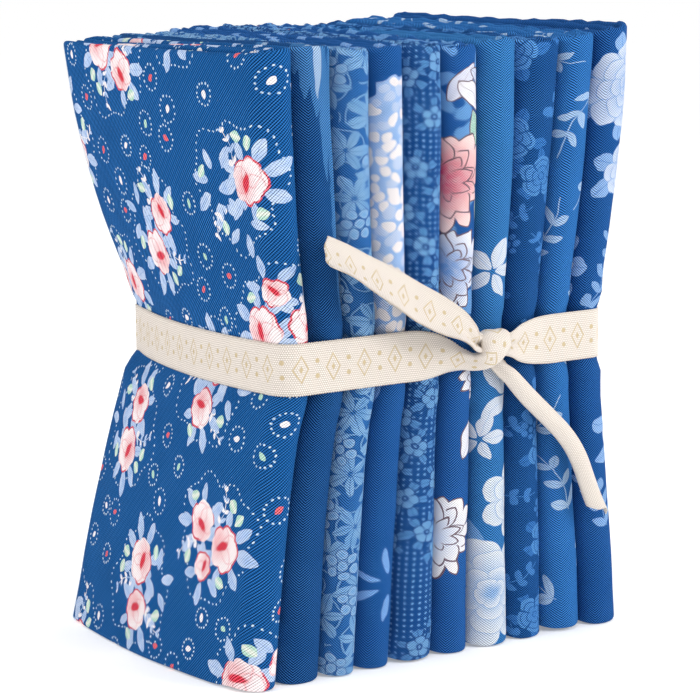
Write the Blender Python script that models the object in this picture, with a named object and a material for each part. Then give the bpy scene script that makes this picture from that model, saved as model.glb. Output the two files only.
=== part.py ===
"""A bundle of ten folded fat quarters, stood on their long folds and tied with a cotton ribbon.

Each cut of quilting cotton is folded in thirds along its length and in quarters across its
width. The ten cuts stand side by side like books: their rounded folds face +X, their raw edges
face -X, and the first cut's flat panel faces -Y. The ribbon goes once round them all, draws
them in at mid height, and ends in a half knot with two free ends over the rounded folds.

Frame: metres, +Z up, the origin on the ground under the middle of the bundle.
"""

import math
from collections import namedtuple

import bmesh
import bpy

# Driving dimensions
CUT_LENGTH = 0.559
CUT_WIDTH = 0.457
HEIGHT = CUT_LENGTH / 3
PANEL = CUT_WIDTH / 4
RIBBON_WIDTH = 0.0152
RIBBON_THICKNESS = 0.0011
GAP = 0.00035

# The ribbon's band: the height of its middle, and how it climbs a little towards the rounded
# folds and the back. The cloth is drawn in over a waist slightly taller than the band.
TIE_MIDDLE = 0.0943
TIE_CLIMB_X = 0.011
TIE_CLIMB_Y = 0.005
WAIST_MARGIN = 0.0010
WAIST_LOW = TIE_MIDDLE - RIBBON_WIDTH / 2 - WAIST_MARGIN
WAIST_HIGH = TIE_MIDDLE + RIBBON_WIDTH / 2 + WAIST_MARGIN

# The bundle's plan outline at three heights. The cuts splay apart above and below the ribbon,
# and their raw edges, which no fold holds open, are drawn in the most. The outline swells
# outwards by bow halfway between the raw edges and the rounded folds.
Outline = namedtuple(
    "Outline", "spine_x open_x front_spine front_open back_spine back_open bow"
)
BASE = Outline(0.0540, 0.0540 - 0.95 * PANEL, -0.0705, -0.0692, 0.0725, 0.0660, 0.0046)
TIED = Outline(0.0573, 0.0573 - 0.985 * PANEL, -0.0575, -0.0418, 0.0618, 0.0480, 0.0062)
TOP = Outline(0.0596, 0.0596 - PANEL, -0.0660, -0.0668, 0.0720, 0.0660, 0.0034)
SPLAY_BELOW = 0.67
SPLAY_ABOVE = 0.15

# One row for each cut, from the front. Shares are its part of the bundle's thickness at the top
# and at the base. Its fold stands step proud of the others, and lift is its height off the
# ground. The rises are what its top stands above HEIGHT at the fold, at the raw edges, and
# more at its back layers. Raw edges are set in from the open side.
Cut = namedtuple(
    "Cut",
    "top_share base_share step lift rise_fold rise_open rise_back raw_outer raw_inner colour",
)
CUTS = (
    Cut(12.6, 12.8, 0.0000, 0.0000, -0.0009, 0.0002, 0.0016, 0.0004, 0.0022, (0.012, 0.078, 0.262)),
    Cut(13.6, 15.4, -0.0006, 0.0000, 0.0001, 0.0016, 0.0008, 0.0012, 0.0030, (0.010, 0.082, 0.305)),
    Cut(13.4, 12.2, 0.0003, 0.0000, -0.0009, 0.0018, 0.0006, 0.0020, 0.0010, (0.050, 0.190, 0.515)),
    Cut(12.8, 13.2, -0.0004, 0.0000, -0.0010, 0.0036, 0.0009, 0.0008, 0.0026, (0.620, 0.700, 0.830)),
    Cut(13.4, 15.3, 0.0002, 0.0005, -0.0004, 0.0036, 0.0005, 0.0016, 0.0034, (0.011, 0.080, 0.290)),
    Cut(13.8, 13.9, -0.0006, 0.0000, -0.0012, 0.0036, 0.0007, 0.0006, 0.0018, (0.180, 0.330, 0.560)),
    Cut(13.4, 15.0, 0.0007, 0.0003, 0.0003, 0.0030, 0.0004, 0.0024, 0.0012, (0.026, 0.150, 0.455)),
    Cut(16.0, 13.3, 0.0002, 0.0000, 0.0002, 0.0032, 0.0006, 0.0010, 0.0028, (0.008, 0.070, 0.285)),
    Cut(13.5, 15.8, -0.0003, 0.0008, 0.0004, 0.0050, 0.0010, 0.0018, 0.0006, (0.028, 0.155, 0.460)),
    Cut(14.1, 14.6, 0.0000, 0.0000, 0.0014, 0.0034, 0.0034, 0.0005, 0.0020, (0.011, 0.085, 0.320)),
)

# Across one cut, from its front face at 0 to its back face at 1, lie four layers of three
# plies each, with a little air between them.
LAYER = 0.205
AIR = (1 - 4 * LAYER) / 3
NEAR_LAYER = (0.0, LAYER)
SECOND_LAYER = (LAYER + AIR, 2 * LAYER + AIR)
THIRD_LAYER = (2 * (LAYER + AIR), 3 * LAYER + 2 * AIR)
FAR_LAYER = (1 - LAYER, 1.0)

# Where the flat of a layer has its points, from the raw edges at 0 to the rounded folds at 1
LEG_SHARES = (0.32, 0.64)

# Depth along X of the big rounded fold, of the fold nested in it, and of the small fold at
# the open side: outer face, then inner face
SPINE_DEPTH = (0.0066, 0.0044)
NESTED_DEPTH = (0.0034, 0.0008)
SMALL_DEPTH = (0.0024, 0.0006)
SQUARENESS = 0.80

# How a cut rises: the share of the way up to the waist, of the waist, and from there to the
# top, with the fullness of the layers, whose folded ends are rounded
Level = namedtuple("Level", "below waist above fullness")
LEVELS = (
    Level(0.000, 0, 0.000, 0.50),
    Level(0.017, 0, 0.000, 1.00),
    Level(0.400, 0, 0.000, 1.00),
    Level(0.780, 0, 0.000, 1.00),
    Level(1.000, 0, 0.000, 1.00),
    Level(1.000, 1, 0.000, 1.00),
    Level(1.000, 1, 0.220, 1.00),
    Level(1.000, 1, 0.600, 1.00),
    Level(1.000, 1, 0.983, 1.00),
    Level(1.000, 1, 1.000, 0.50),
)

# The knot's middle and its half sizes, and how the band draws in towards it
KNOT_Y = 0.0140
KNOT_Z = 0.0950
KNOT_STANDOFF = 0.0046
KNOT_HALF = (0.0040, 0.0086, 0.0058)
KNOT_TILT = math.radians(24)
GATHER_REACH = 0.0190
GATHERED_HALF = 0.0034
RIBBON_COLOUR = (0.800, 0.740, 0.640)

# Where the band has its points: along the flat panels as shares of the way from the raw edges
# to the folds, round the two corners in degrees, across the folds as parts of GATHER_REACH
# from the knot, and across the raw edges as shares of the bundle's thickness
PANEL_STOPS = (0.0, 0.04, 0.2, 0.4, 0.6, 0.8, 0.95)
CORNER_STOPS = (25, 50, 75)
CORNER_END = 0.003
KNOT_STOPS = (-1.6, -1.0, -0.5, 0.0, 0.5, 1.0)
OPEN_SIDE_STOPS = (0.98, 0.66, 0.33, 0.02)

# The two free ends, from the knot outwards. Each row is the middle of the strip across the
# folds (y) and up (z), how far it stands off the folds, its width, and how far it is turned
# about its own length. The ribbon is creased along itself here, so the strip is narrower and
# thicker than the flat band.
Row = namedtuple("Row", "y z standoff width turn")
END_THICKNESS = 0.0019
UPPER_END = (
    Row(0.0125, 0.0950, 0.0050, 0.0060, 0),
    Row(0.0050, 0.0999, 0.0066, 0.0072, 6),
    Row(-0.0041, 0.1055, 0.0060, 0.0084, 10),
    Row(-0.0137, 0.1114, 0.0050, 0.0086, 12),
    Row(-0.0243, 0.1175, 0.0044, 0.0086, 10),
    Row(-0.0366, 0.1243, 0.0042, 0.0080, 6),
    Row(-0.0480, 0.1294, 0.0046, 0.0074, 2),
)
LOWER_END = (
    Row(0.0140, 0.0940, 0.0050, 0.0060, 0),
    Row(0.0190, 0.0880, 0.0062, 0.0064, -8),
    Row(0.0265, 0.0790, 0.0060, 0.0068, -14),
    Row(0.0365, 0.0690, 0.0050, 0.0080, -12),
    Row(0.0433, 0.0608, 0.0044, 0.0088, -6),
    Row(0.0470, 0.0526, 0.0044, 0.0072, 4),
    Row(0.0510, 0.0446, 0.0048, 0.0040, 14),
    Row(0.0545, 0.0378, 0.0054, 0.0014, 20),
)


def mix(start, end, share):
    return start + (end - start) * share


def clear_scene():
    for obj in list(bpy.data.objects):
        bpy.data.objects.remove(obj, do_unlink=True)


def cloth_material(name, colour, roughness):
    material = bpy.data.materials.new(name)
    material.use_nodes = True
    shader = material.node_tree.nodes["Principled BSDF"]
    shader.inputs["Base Color"].default_value = (*colour, 1.0)
    shader.inputs["Roughness"].default_value = roughness
    shader.inputs["Metallic"].default_value = 0.0
    return material


def splay_at(z):
    """How far the bundle has opened at this height, from 0 at the waist to 1 at either end."""
    if z < WAIST_LOW:
        return ((WAIST_LOW - z) / WAIST_LOW) ** SPLAY_BELOW
    if z > WAIST_HIGH:
        share = min(1.0, (z - WAIST_HIGH) / (HEIGHT - WAIST_HIGH))
        return share + SPLAY_ABOVE * math.sin(math.pi * share)
    return 0.0


def outline_at(z):
    end = BASE if z < WAIST_LOW else TOP
    splay = splay_at(z)
    return Outline(*(mix(tied, free, splay) for tied, free in zip(TIED, end)))


def shares_at(z):
    """The boundaries between the cuts as shares of the bundle's thickness, from 0 to 1."""
    up = min(1.0, z / HEIGHT)
    parts = [mix(cut.base_share, cut.top_share, up) for cut in CUTS]
    return [sum(parts[:index]) / sum(parts) for index in range(len(parts) + 1)]


def bundle_faces(outline, x):
    """The y of the whole bundle's front and back face at this x."""
    along = (x - outline.open_x) / (outline.spine_x - outline.open_x)
    swell = outline.bow * 4 * along * (1 - along)
    front = mix(outline.front_open, outline.front_spine, along) - swell
    back = mix(outline.back_open, outline.back_spine, along) + swell
    return front, back


def cut_point(index, z, x, across):
    """A point of one cut at this height: across runs from its front face at 0 to its back at 1."""
    outline = outline_at(z)
    front, back = bundle_faces(outline, x)
    shares = shares_at(z)
    near = mix(front, back, shares[index]) + GAP / 2
    far = mix(front, back, shares[index + 1]) - GAP / 2
    return (x, mix(near, far, across), z)


def rounded(angle):
    """Cosine and sine of a slightly squared circle."""
    cosine, sine = math.cos(angle), math.sin(angle)
    return (
        math.copysign(abs(cosine) ** SQUARENESS, cosine),
        math.copysign(abs(sine) ** SQUARENESS, sine),
    )


def fold_stations(centre, start, end, steps, face_a, face_b):
    """Pairs of (x, across) round a fold about its centre, from one angle to the other in degrees.

    A face is its (depth along x, half width across).
    """
    pairs = []
    for step in range(steps + 1):
        cosine, sine = rounded(math.radians(mix(start, end, step / steps)))
        pairs.append(
            tuple((centre[0] + depth * cosine, centre[1] + half * sine) for depth, half in (face_a, face_b))
        )
    return pairs


def leg_stations(outline, shares, face_a, face_b):
    """Pairs along a straight layer, at the same x on every layer, so that all lie parallel."""
    span = outline.spine_x - outline.open_x
    return [tuple((outline.open_x + share * span, face) for face in (face_a, face_b)) for share in shares]


def layer_path(cut, z):
    """The folded cut in plan, from one raw edge to the other, as pairs of (x, across).

    The outermost layer starts at its raw edge, rounds the big fold, and comes back as the far
    layer. It turns at the small fold, goes back as the third layer, turns inside the big fold,
    and ends as the second layer.
    """
    outline = outline_at(z)
    step = cut.step * splay_at(z)
    fold_x = outline.spine_x + step - SPINE_DEPTH[0]
    small_x = outline.open_x + SMALL_DEPTH[0]
    outer_raw = outline.open_x + cut.raw_outer
    inner_raw = outline.open_x + cut.raw_inner
    tight = AIR / 2
    wide = LAYER + tight

    path = [((outer_raw, NEAR_LAYER[0]), (outer_raw, NEAR_LAYER[1]))]
    path += leg_stations(outline, LEG_SHARES, *NEAR_LAYER)
    path += fold_stations(
        (fold_x, 0.5), -90, 90, 6, (SPINE_DEPTH[0], 0.5), (SPINE_DEPTH[1], 0.5 - LAYER)
    )
    path += leg_stations(outline, LEG_SHARES[::-1], FAR_LAYER[1], FAR_LAYER[0])
    path += fold_stations(
        (small_x, FAR_LAYER[0] - tight), 90, 270, 4, (SMALL_DEPTH[0], wide), (SMALL_DEPTH[1], tight)
    )
    path += leg_stations(outline, LEG_SHARES, *THIRD_LAYER)
    path += fold_stations(
        (fold_x, 0.5), 90, -90, 4, (NESTED_DEPTH[1], tight), (NESTED_DEPTH[0], wide)
    )
    path += leg_stations(outline, LEG_SHARES[::-1], SECOND_LAYER[1], SECOND_LAYER[0])
    path.append(((inner_raw, SECOND_LAYER[1]), (inner_raw, SECOND_LAYER[0])))
    return path


def top_of(cut, x, across):
    """The height of a cut's top edge, which is a little higher at its raw edges."""
    towards_open = (TOP.spine_x - x) / (TOP.spine_x - TOP.open_x)
    return HEIGHT + mix(cut.rise_fold, cut.rise_open, towards_open) + cut.rise_back * across


def level_height(level, cut, top):
    below = level.below * (WAIST_LOW - cut.lift)
    waist = level.waist * (WAIST_HIGH - WAIST_LOW)
    return cut.lift + below + waist + level.above * (top - WAIST_HIGH)


def cut_columns(index, cut, level):
    """Face points of one cut at one level: a list of (face a, face b)."""
    guide = layer_path(cut, level_height(level, cut, HEIGHT))
    columns = []
    for place, (guide_a, guide_b) in enumerate(guide):
        middle = (guide_a[1] + guide_b[1]) / 2
        z = level_height(level, cut, top_of(cut, guide_a[0], middle))
        pair_a, pair_b = layer_path(cut, z)[place]
        centre = tuple((a + b) / 2 for a, b in zip(pair_a, pair_b))
        columns.append(
            tuple(
                cut_point(
                    index,
                    z,
                    mix(centre[0], side[0], level.fullness),
                    mix(centre[1], side[1], level.fullness),
                )
                for side in (pair_a, pair_b)
            )
        )
    return columns


def mesh_object(name, mesh_maker, material):
    mesh = bpy.data.meshes.new(name)
    shape = bmesh.new()
    mesh_maker(shape)
    bmesh.ops.recalc_face_normals(shape, faces=shape.faces)
    shape.to_mesh(mesh)
    shape.free()
    mesh.materials.append(material)
    mesh.shade_smooth()
    mesh.set_sharp_from_angle(angle=math.radians(50))
    obj = bpy.data.objects.new(name, mesh)
    bpy.context.scene.collection.objects.link(obj)
    return obj


def split_quad(shape, corners):
    """Two triangles whose shared edge rises towards +X, the same way on faces that lie together."""
    first, second, third, fourth = corners
    run = third.co - first.co
    if run.x * run.z < 0:
        first, second, third, fourth = second, third, fourth, first
    shape.faces.new((first, second, third))
    shape.faces.new((first, third, fourth))


def skin_sheet(shape, levels):
    """A closed solid from rows of (face a, face b) point pairs: two faces, two ends, two caps."""
    rows = [[(shape.verts.new(a), shape.verts.new(b)) for a, b in level] for level in levels]
    for low, high in zip(rows, rows[1:]):
        for (a0, b0), (a1, b1), (a2, b2), (a3, b3) in zip(low, low[1:], high[1:], high):
            split_quad(shape, (a0, a1, a2, a3))
            split_quad(shape, (b3, b2, b1, b0))
        for place, turned in ((0, 1), (-1, -1)):
            (a0, b0), (a1, b1) = low[place], high[place]
            shape.faces.new((a1, b1, b0, a0)[::turned])
    for row, turned in ((rows[0], 1), (rows[-1], -1)):
        for (a0, b0), (a1, b1) in zip(row, row[1:]):
            shape.faces.new((a0, b0, b1, a1)[::turned])


def build_cut(index, cut):
    name = f"fat_quarter_{index + 1:02d}"
    levels = [cut_columns(index, cut, level) for level in LEVELS]
    material = cloth_material(f"{name}_cotton", cut.colour, 0.85)
    return mesh_object(name, lambda shape: skin_sheet(shape, levels), material)


def panel_points(index, outline, across, stops):
    """Points of the band's plan along the flat front or back panel."""
    fold_x = outline.spine_x - SPINE_DEPTH[0]
    return [cut_point(index, TIE_MIDDLE, mix(outline.open_x, fold_x, stop), across)[:2] for stop in stops]


def corner_points(index, outline, angles):
    """Points of the band's plan round the rounded fold of the first or the last cut."""
    fold_x = outline.spine_x - SPINE_DEPTH[0]
    points = []
    for angle in angles:
        cosine, sine = rounded(math.radians(angle))
        x = fold_x + SPINE_DEPTH[0] * cosine
        points.append(cut_point(index, TIE_MIDDLE, x, 0.5 + 0.5 * sine)[:2])
    return points


def tie_outline():
    """The plan of the drawn-in cloth that the ribbon lies on, counter-clockwise from the
    front's open corner, as a list of (x, y)."""
    outline = outline_at(TIE_MIDDLE)
    last = len(CUTS) - 1
    front = panel_points(0, outline, 0.0, PANEL_STOPS)
    near_corner = corner_points(0, outline, [-angle for angle in CORNER_STOPS[::-1]])
    far_corner = corner_points(last, outline, CORNER_STOPS)
    back = panel_points(last, outline, 1.0, PANEL_STOPS[::-1])
    stops = [near_corner[-1][1] + CORNER_END]
    stops += [KNOT_Y + stop * GATHER_REACH for stop in KNOT_STOPS]
    stops += [far_corner[0][1] - CORNER_END]
    folds = [(outline.spine_x, y) for y in stops]
    front_y, back_y = front[0][1], back[-1][1]
    raw_edges = [(outline.open_x, mix(front_y, back_y, stop)) for stop in OPEN_SIDE_STOPS]
    return front + near_corner + folds + far_corner + back + raw_edges


def offset_loop(points, distance):
    """The closed counter-clockwise loop moved outwards, each point along its own normal."""
    moved = []
    count = len(points)
    for index, (x, y) in enumerate(points):
        before, after = points[index - 1], points[(index + 1) % count]
        along = (after[0] - before[0], after[1] - before[1])
        length = math.hypot(*along)
        moved.append((x + along[1] / length * distance, y - along[0] / length * distance))
    return moved


def band_edges(x, y):
    """The low and high edge of the band at this place, drawn in towards the knot."""
    middle = TIE_MIDDLE + TIE_CLIMB_X * x + TIE_CLIMB_Y * y
    flat = (middle - RIBBON_WIDTH / 2, middle + RIBBON_WIDTH / 2)
    if x < TIED.spine_x:
        return flat
    away = min(1.0, abs(y - KNOT_Y) / GATHER_REACH)
    ease = away * away * (3 - 2 * away)
    return (mix(KNOT_Z - GATHERED_HALF, flat[0], ease), mix(KNOT_Z + GATHERED_HALF, flat[1], ease))


def make_band(shape):
    """The ribbon's flat band: a ring of four-cornered sections."""
    plan = tie_outline()
    rings = []
    for (x, y), (ox, oy) in zip(offset_loop(plan, GAP), offset_loop(plan, GAP + RIBBON_THICKNESS)):
        low, high = band_edges(x, y)
        corners = ((x, y, low), (ox, oy, low), (ox, oy, high), (x, y, high))
        rings.append([shape.verts.new(corner) for corner in corners])
    for index, ring in enumerate(rings):
        following = rings[(index + 1) % len(rings)]
        for corner in range(4):
            beside = (corner + 1) % 4
            shape.faces.new((ring[corner], following[corner], following[beside], ring[beside]))


def make_end(shape, rows):
    """A free end: a flat strip along the rows, turned about its length, square at its tip."""
    fold_x = TIED.spine_x + GAP
    middles = [(fold_x + row.standoff, row.y, row.z) for row in rows]
    levels = []
    for index, row in enumerate(rows):
        before, after = middles[max(0, index - 1)], middles[min(len(rows) - 1, index + 1)]
        run_y, run_z = after[1] - before[1], after[2] - before[2]
        length = math.hypot(run_y, run_z)
        turn = math.radians(row.turn)
        # Across the strip: square to its run in the plane of the folds, leaning by the turn
        wide = (math.sin(turn), -run_z / length * math.cos(turn), run_y / length * math.cos(turn))
        thick = (math.cos(turn), run_z / length * math.sin(turn), -run_y / length * math.sin(turn))
        pairs = []
        for side in (-0.5, 0.0, 0.5):
            cupped = 0.0 if side == 0.0 else -0.18 * row.width
            centre = [m + w * side * row.width + t * cupped for m, w, t in zip(middles[index], wide, thick)]
            pairs.append(
                tuple(
                    tuple(c + t * half for c, t in zip(centre, thick))
                    for half in (END_THICKNESS / 2, -END_THICKNESS / 2)
                )
            )
        levels.append(pairs)
    skin_sheet(shape, levels)


def make_knot(tilt):
    """One of the two crossing turns of the knot: a flattened ball, tilted in the folds' plane."""

    def build(shape):
        bmesh.ops.create_icosphere(shape, subdivisions=2, radius=1.0)
        cosine, sine = math.cos(tilt), math.sin(tilt)
        for vert in shape.verts:
            x, y, z = (value * half for value, half in zip(vert.co, KNOT_HALF))
            vert.co = (
                TIED.spine_x + GAP + KNOT_STANDOFF + x,
                KNOT_Y + y * cosine - z * sine,
                KNOT_Z + y * sine + z * cosine,
            )

    return build


def build_tie():
    """The ribbon as one piece: the band, the knot and the free ends, and its joined helpers."""
    material = cloth_material("ribbon_cotton", RIBBON_COLOUR, 0.9)
    tie = mesh_object("ribbon_tie", make_band, material)
    helpers = []
    joined = (
        ("knot_rising", make_knot(KNOT_TILT)),
        ("knot_falling", make_knot(-KNOT_TILT)),
        ("upper_end", lambda shape: make_end(shape, UPPER_END)),
        ("lower_end", lambda shape: make_end(shape, LOWER_END)),
    )
    for name, maker in joined:
        helper = mesh_object(name, maker, material)
        helper.hide_render = True
        helper.display_type = "WIRE"
        union = tie.modifiers.new(name, "BOOLEAN")
        union.operation = "UNION"
        union.solver = "EXACT"
        union.object = helper
        helpers.append(helper)
    return tie, helpers


def centre_over_origin(pieces, helpers):
    """Hangs everything from an empty that puts the middle of the whole bundle over the origin."""
    bpy.context.view_layer.update()
    graph = bpy.context.evaluated_depsgraph_get()
    points = [vert.co for piece in pieces for vert in piece.evaluated_get(graph).data.vertices]
    middle = [(min(values) + max(values)) / 2 for values in zip(*points)]
    bundle = bpy.data.objects.new("bundle", None)
    bundle.location = (-middle[0], -middle[1], 0.0)
    bpy.context.scene.collection.objects.link(bundle)
    for obj in pieces + helpers:
        obj.parent = bundle


def main():
    clear_scene()
    cuts = [build_cut(index, cut) for index, cut in enumerate(CUTS)]
    tie, helpers = build_tie()
    centre_over_origin(cuts + [tie], helpers)


main()
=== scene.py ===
# %% [markdown]
# # A tied bundle of folded fat quarters
#
# Ten cuts of printed quilting cotton stand side by side like books, and a cotton tape is tied
# round their middle in a half knot. A fat quarter is a piece of about 46 by 56 cm. Each one is
# folded in thirds along its length and then in quarters across its width, so every cut here is
# one continuous sheet that runs back and forth twelve times.
#
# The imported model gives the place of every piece. It is loaded first and never changed.

# %% The fixed frame
import math
from collections import namedtuple

import bpy
import numpy as np
from mathutils import Matrix, Vector


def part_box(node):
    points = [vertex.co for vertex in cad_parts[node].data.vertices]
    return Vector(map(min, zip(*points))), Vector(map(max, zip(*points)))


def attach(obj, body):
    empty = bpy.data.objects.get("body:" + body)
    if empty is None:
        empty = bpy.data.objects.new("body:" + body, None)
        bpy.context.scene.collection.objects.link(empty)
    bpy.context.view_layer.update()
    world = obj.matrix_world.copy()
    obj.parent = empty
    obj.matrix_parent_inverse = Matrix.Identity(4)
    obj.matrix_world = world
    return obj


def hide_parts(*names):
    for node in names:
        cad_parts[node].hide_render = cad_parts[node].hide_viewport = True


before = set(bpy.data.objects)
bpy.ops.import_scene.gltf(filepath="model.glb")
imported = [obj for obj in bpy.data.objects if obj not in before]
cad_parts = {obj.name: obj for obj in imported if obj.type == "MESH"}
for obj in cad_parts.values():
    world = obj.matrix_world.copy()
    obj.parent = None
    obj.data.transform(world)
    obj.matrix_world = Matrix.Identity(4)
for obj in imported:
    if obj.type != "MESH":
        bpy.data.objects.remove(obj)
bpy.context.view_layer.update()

# %% [markdown]
# ## The camera
#
# The picture is taken from a little above, from the side where the rounded folds meet the first
# cut's flat panel. A long lens from about three quarters of a metre keeps the upright edges
# almost parallel, as in a catalogue picture. The camera's place is in the same frame as the cloth.

# %% The camera
CAMERA_PLACE = Vector((0.65428, -0.44825, 0.21168))
CAMERA_YAW = math.radians(55.52)
CAMERA_PITCH = math.radians(8.79)
CAMERA_ROLL = math.radians(-0.65)
LENS_MM = 130.4
SENSOR_MM = 36.0

forward = Vector(
    (
        -math.sin(CAMERA_YAW) * math.cos(CAMERA_PITCH),
        math.cos(CAMERA_YAW) * math.cos(CAMERA_PITCH),
        -math.sin(CAMERA_PITCH),
    )
)
level_right = Vector((math.cos(CAMERA_YAW), math.sin(CAMERA_YAW), 0.0))
level_up = level_right.cross(forward)
right = level_right * math.cos(CAMERA_ROLL) + level_up * math.sin(CAMERA_ROLL)
up = level_up * math.cos(CAMERA_ROLL) - level_right * math.sin(CAMERA_ROLL)

lens = bpy.data.cameras.new("camera")
lens.lens = LENS_MM
lens.sensor_width = SENSOR_MM
lens.clip_start = 0.01
lens.clip_end = 60.0
camera = bpy.data.objects.new("camera", lens)
bpy.context.scene.collection.objects.link(camera)
camera_turn = Matrix((right, up, -forward)).transposed().to_4x4()
camera.matrix_world = Matrix.Translation(CAMERA_PLACE) @ camera_turn
bpy.context.scene.camera = camera

# %% [markdown]
# ## Where the cloth lies
#
# The bundle is narrow at the ribbon and splays apart above and below it. Three plan outlines, at
# the base, at the ribbon and at the top, say how wide and how deep it is, and every point of
# every cut is worked out from them. Changing one of these sizes reshapes the whole bundle.

# %% The bundle's driving sizes
CUT_LENGTH = 0.559
CUT_WIDTH = 0.457
HEIGHT = CUT_LENGTH / 3
PANEL = CUT_WIDTH / 4
CLOTH_THICKNESS = 0.00028
GAP = 0.00035
RIBBON_WIDTH = 0.0152
RIBBON_THICKNESS = 0.0011
TIE_MIDDLE = 0.0943
TIE_CLIMB_X = 0.011
TIE_CLIMB_Y = 0.005
WAIST_MARGIN = 0.0010
WAIST_LOW = TIE_MIDDLE - RIBBON_WIDTH / 2 - WAIST_MARGIN
WAIST_HIGH = TIE_MIDDLE + RIBBON_WIDTH / 2 + WAIST_MARGIN
SPLAY_BELOW = 0.67
SPLAY_ABOVE = 0.15

Outline = namedtuple("Outline", "spine_x open_x front_spine front_open back_spine back_open bow")
BASE = Outline(0.0540, 0.0540 - 0.95 * PANEL, -0.0705, -0.0692, 0.0725, 0.0660, 0.0046)
TIED = Outline(0.0573, 0.0573 - 0.985 * PANEL, -0.0575, -0.0418, 0.0618, 0.0480, 0.0062)
TOP = Outline(0.0596, 0.0596 - PANEL, -0.0660, -0.0668, 0.0720, 0.0660, 0.0034)

# One row for each cut, from the front: its part of the bundle's thickness at the top and at the
# base, how far its fold stands proud, its height off the ground, how far its top rises at the
# fold, at the raw edges and towards its back, and how far its two raw edges are set in.
Cut = namedtuple(
    "Cut", "top_share base_share step lift rise_fold rise_open rise_back raw_outer raw_inner"
)
CUTS = (
    Cut(12.6, 12.8, 0.0000, 0.0000, -0.0009, 0.0002, 0.0016, 0.0004, 0.0022),
    Cut(13.6, 15.4, -0.0006, 0.0000, 0.0001, 0.0016, 0.0008, 0.0012, 0.0030),
    Cut(13.4, 12.2, 0.0003, 0.0000, -0.0009, 0.0018, 0.0006, 0.0020, 0.0010),
    Cut(12.8, 13.2, -0.0004, 0.0000, -0.0010, 0.0036, 0.0009, 0.0008, 0.0026),
    Cut(13.4, 15.3, 0.0002, 0.0005, -0.0004, 0.0036, 0.0005, 0.0016, 0.0034),
    Cut(13.8, 13.9, -0.0006, 0.0000, -0.0012, 0.0036, 0.0007, 0.0006, 0.0018),
    Cut(13.4, 15.0, 0.0007, 0.0003, 0.0003, 0.0030, 0.0004, 0.0024, 0.0012),
    Cut(16.0, 13.3, 0.0002, 0.0000, 0.0002, 0.0032, 0.0006, 0.0010, 0.0028),
    Cut(13.5, 15.8, -0.0003, 0.0008, 0.0004, 0.0050, 0.0010, 0.0018, 0.0006),
    Cut(14.1, 14.6, 0.0000, 0.0000, 0.0014, 0.0034, 0.0034, 0.0005, 0.0020),
)


# %% Helpers that turn the sizes into places
def mix(start, end, share):
    return start + (end - start) * share


def smooth(values, low, high):
    """0 below low, 1 above high, and a soft ramp between them."""
    share = np.clip((values - low) / (high - low), 0.0, 1.0)
    return share * share * (3 - 2 * share)


def hump(values, middle, width):
    return np.exp(-(((values - middle) / width) ** 2))


def splay_at(z):
    """How far the bundle has opened at this height, from 0 at the ribbon to 1 at either end."""
    below = np.clip((WAIST_LOW - z) / WAIST_LOW, 0, 1) ** SPLAY_BELOW
    above = np.clip((z - WAIST_HIGH) / (HEIGHT - WAIST_HIGH), 0, 1)
    return below + above + SPLAY_ABOVE * np.sin(math.pi * above)


def outline_at(z):
    splay = splay_at(z)
    low = z < WAIST_LOW
    return Outline(
        *(mix(tied, np.where(low, base, top), splay) for tied, base, top in zip(TIED, BASE, TOP))
    )


def cut_y(index, z, x, across):
    """The y of a point of one cut: across runs from its front face at 0 to its back at 1."""
    outline = outline_at(z)
    along = (x - outline.open_x) / (outline.spine_x - outline.open_x)
    swell = outline.bow * 4 * along * (1 - along)
    front = mix(outline.front_open, outline.front_spine, along) - swell
    back = mix(outline.back_open, outline.back_spine, along) + swell
    up = np.clip(z / HEIGHT, 0, 1)
    parts = [mix(cut.base_share, cut.top_share, up) for cut in CUTS]
    near = sum(parts[:index]) / sum(parts)
    far = sum(parts[: index + 1]) / sum(parts)
    return mix(mix(front, back, near) + GAP / 2, mix(front, back, far) - GAP / 2, across)


# The frame is centred on the finished bundle, so the outlines are moved by what that took. The
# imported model's panel is furthest forward just above its foot, at one of two of its columns.
FOOT_SHARE = 0.017
PANEL_COLUMNS = (0.32, 0.64)
tie_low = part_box("ribbon_tie")[0]
first_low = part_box("fat_quarter_01")[0]
foot = np.full(2, FOOT_SHARE * WAIST_LOW)
foot_outline = outline_at(foot)
panel_x = mix(foot_outline.open_x, foot_outline.spine_x, np.array(PANEL_COLUMNS))
MOVE_X = tie_low.x - (TIED.open_x - GAP - RIBBON_THICKNESS)
MOVE_Y = first_low.y - float(cut_y(0, foot, panel_x, 0.0).min())
print("The outlines are moved by", round(MOVE_X * 1000, 2), round(MOVE_Y * 1000, 2), "mm")

# %% [markdown]
# ## The path of a folded cut
#
# Seen from above, a cut starts at a raw edge, runs along the front of its block, rounds the big
# fold, comes back along the far side, turns at a small fold, and goes in and out once more
# inside. Each of these four layers is itself three plies, because the cloth was first folded in
# thirds. The path across and the path up are two lists of stations, and the sheet is their grid.

# %% The layers and the folds
LAYER = 0.205
AIR = (1 - 4 * LAYER) / 3
NEAR_LAYER = (0.0, LAYER)
SECOND_LAYER = (LAYER + AIR, 2 * LAYER + AIR)
THIRD_LAYER = (2 * (LAYER + AIR), 3 * LAYER + 2 * AIR)
FAR_LAYER = (1 - LAYER, 1.0)
SPINE_DEPTH = (0.0066, 0.0044)
NESTED_DEPTH = (0.0034, 0.0008)
SMALL_DEPTH = (0.0024, 0.0006)
SQUARENESS = 1.0

# Where the three plies of a layer lie, from its outer face at 0 to its inner face at 1. The
# first third is folded up against the outer ply, and the last third is folded down over both.
OUTER_PLY = 0.05
TUCKED_PLY = 0.47
LAST_PLY = 0.90
TOP_TURN = 0.0013
BASE_TURN = 0.0008
TUCKED_EDGE_DROP = 0.0028
LAST_EDGE_RISE = 0.0016

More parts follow.
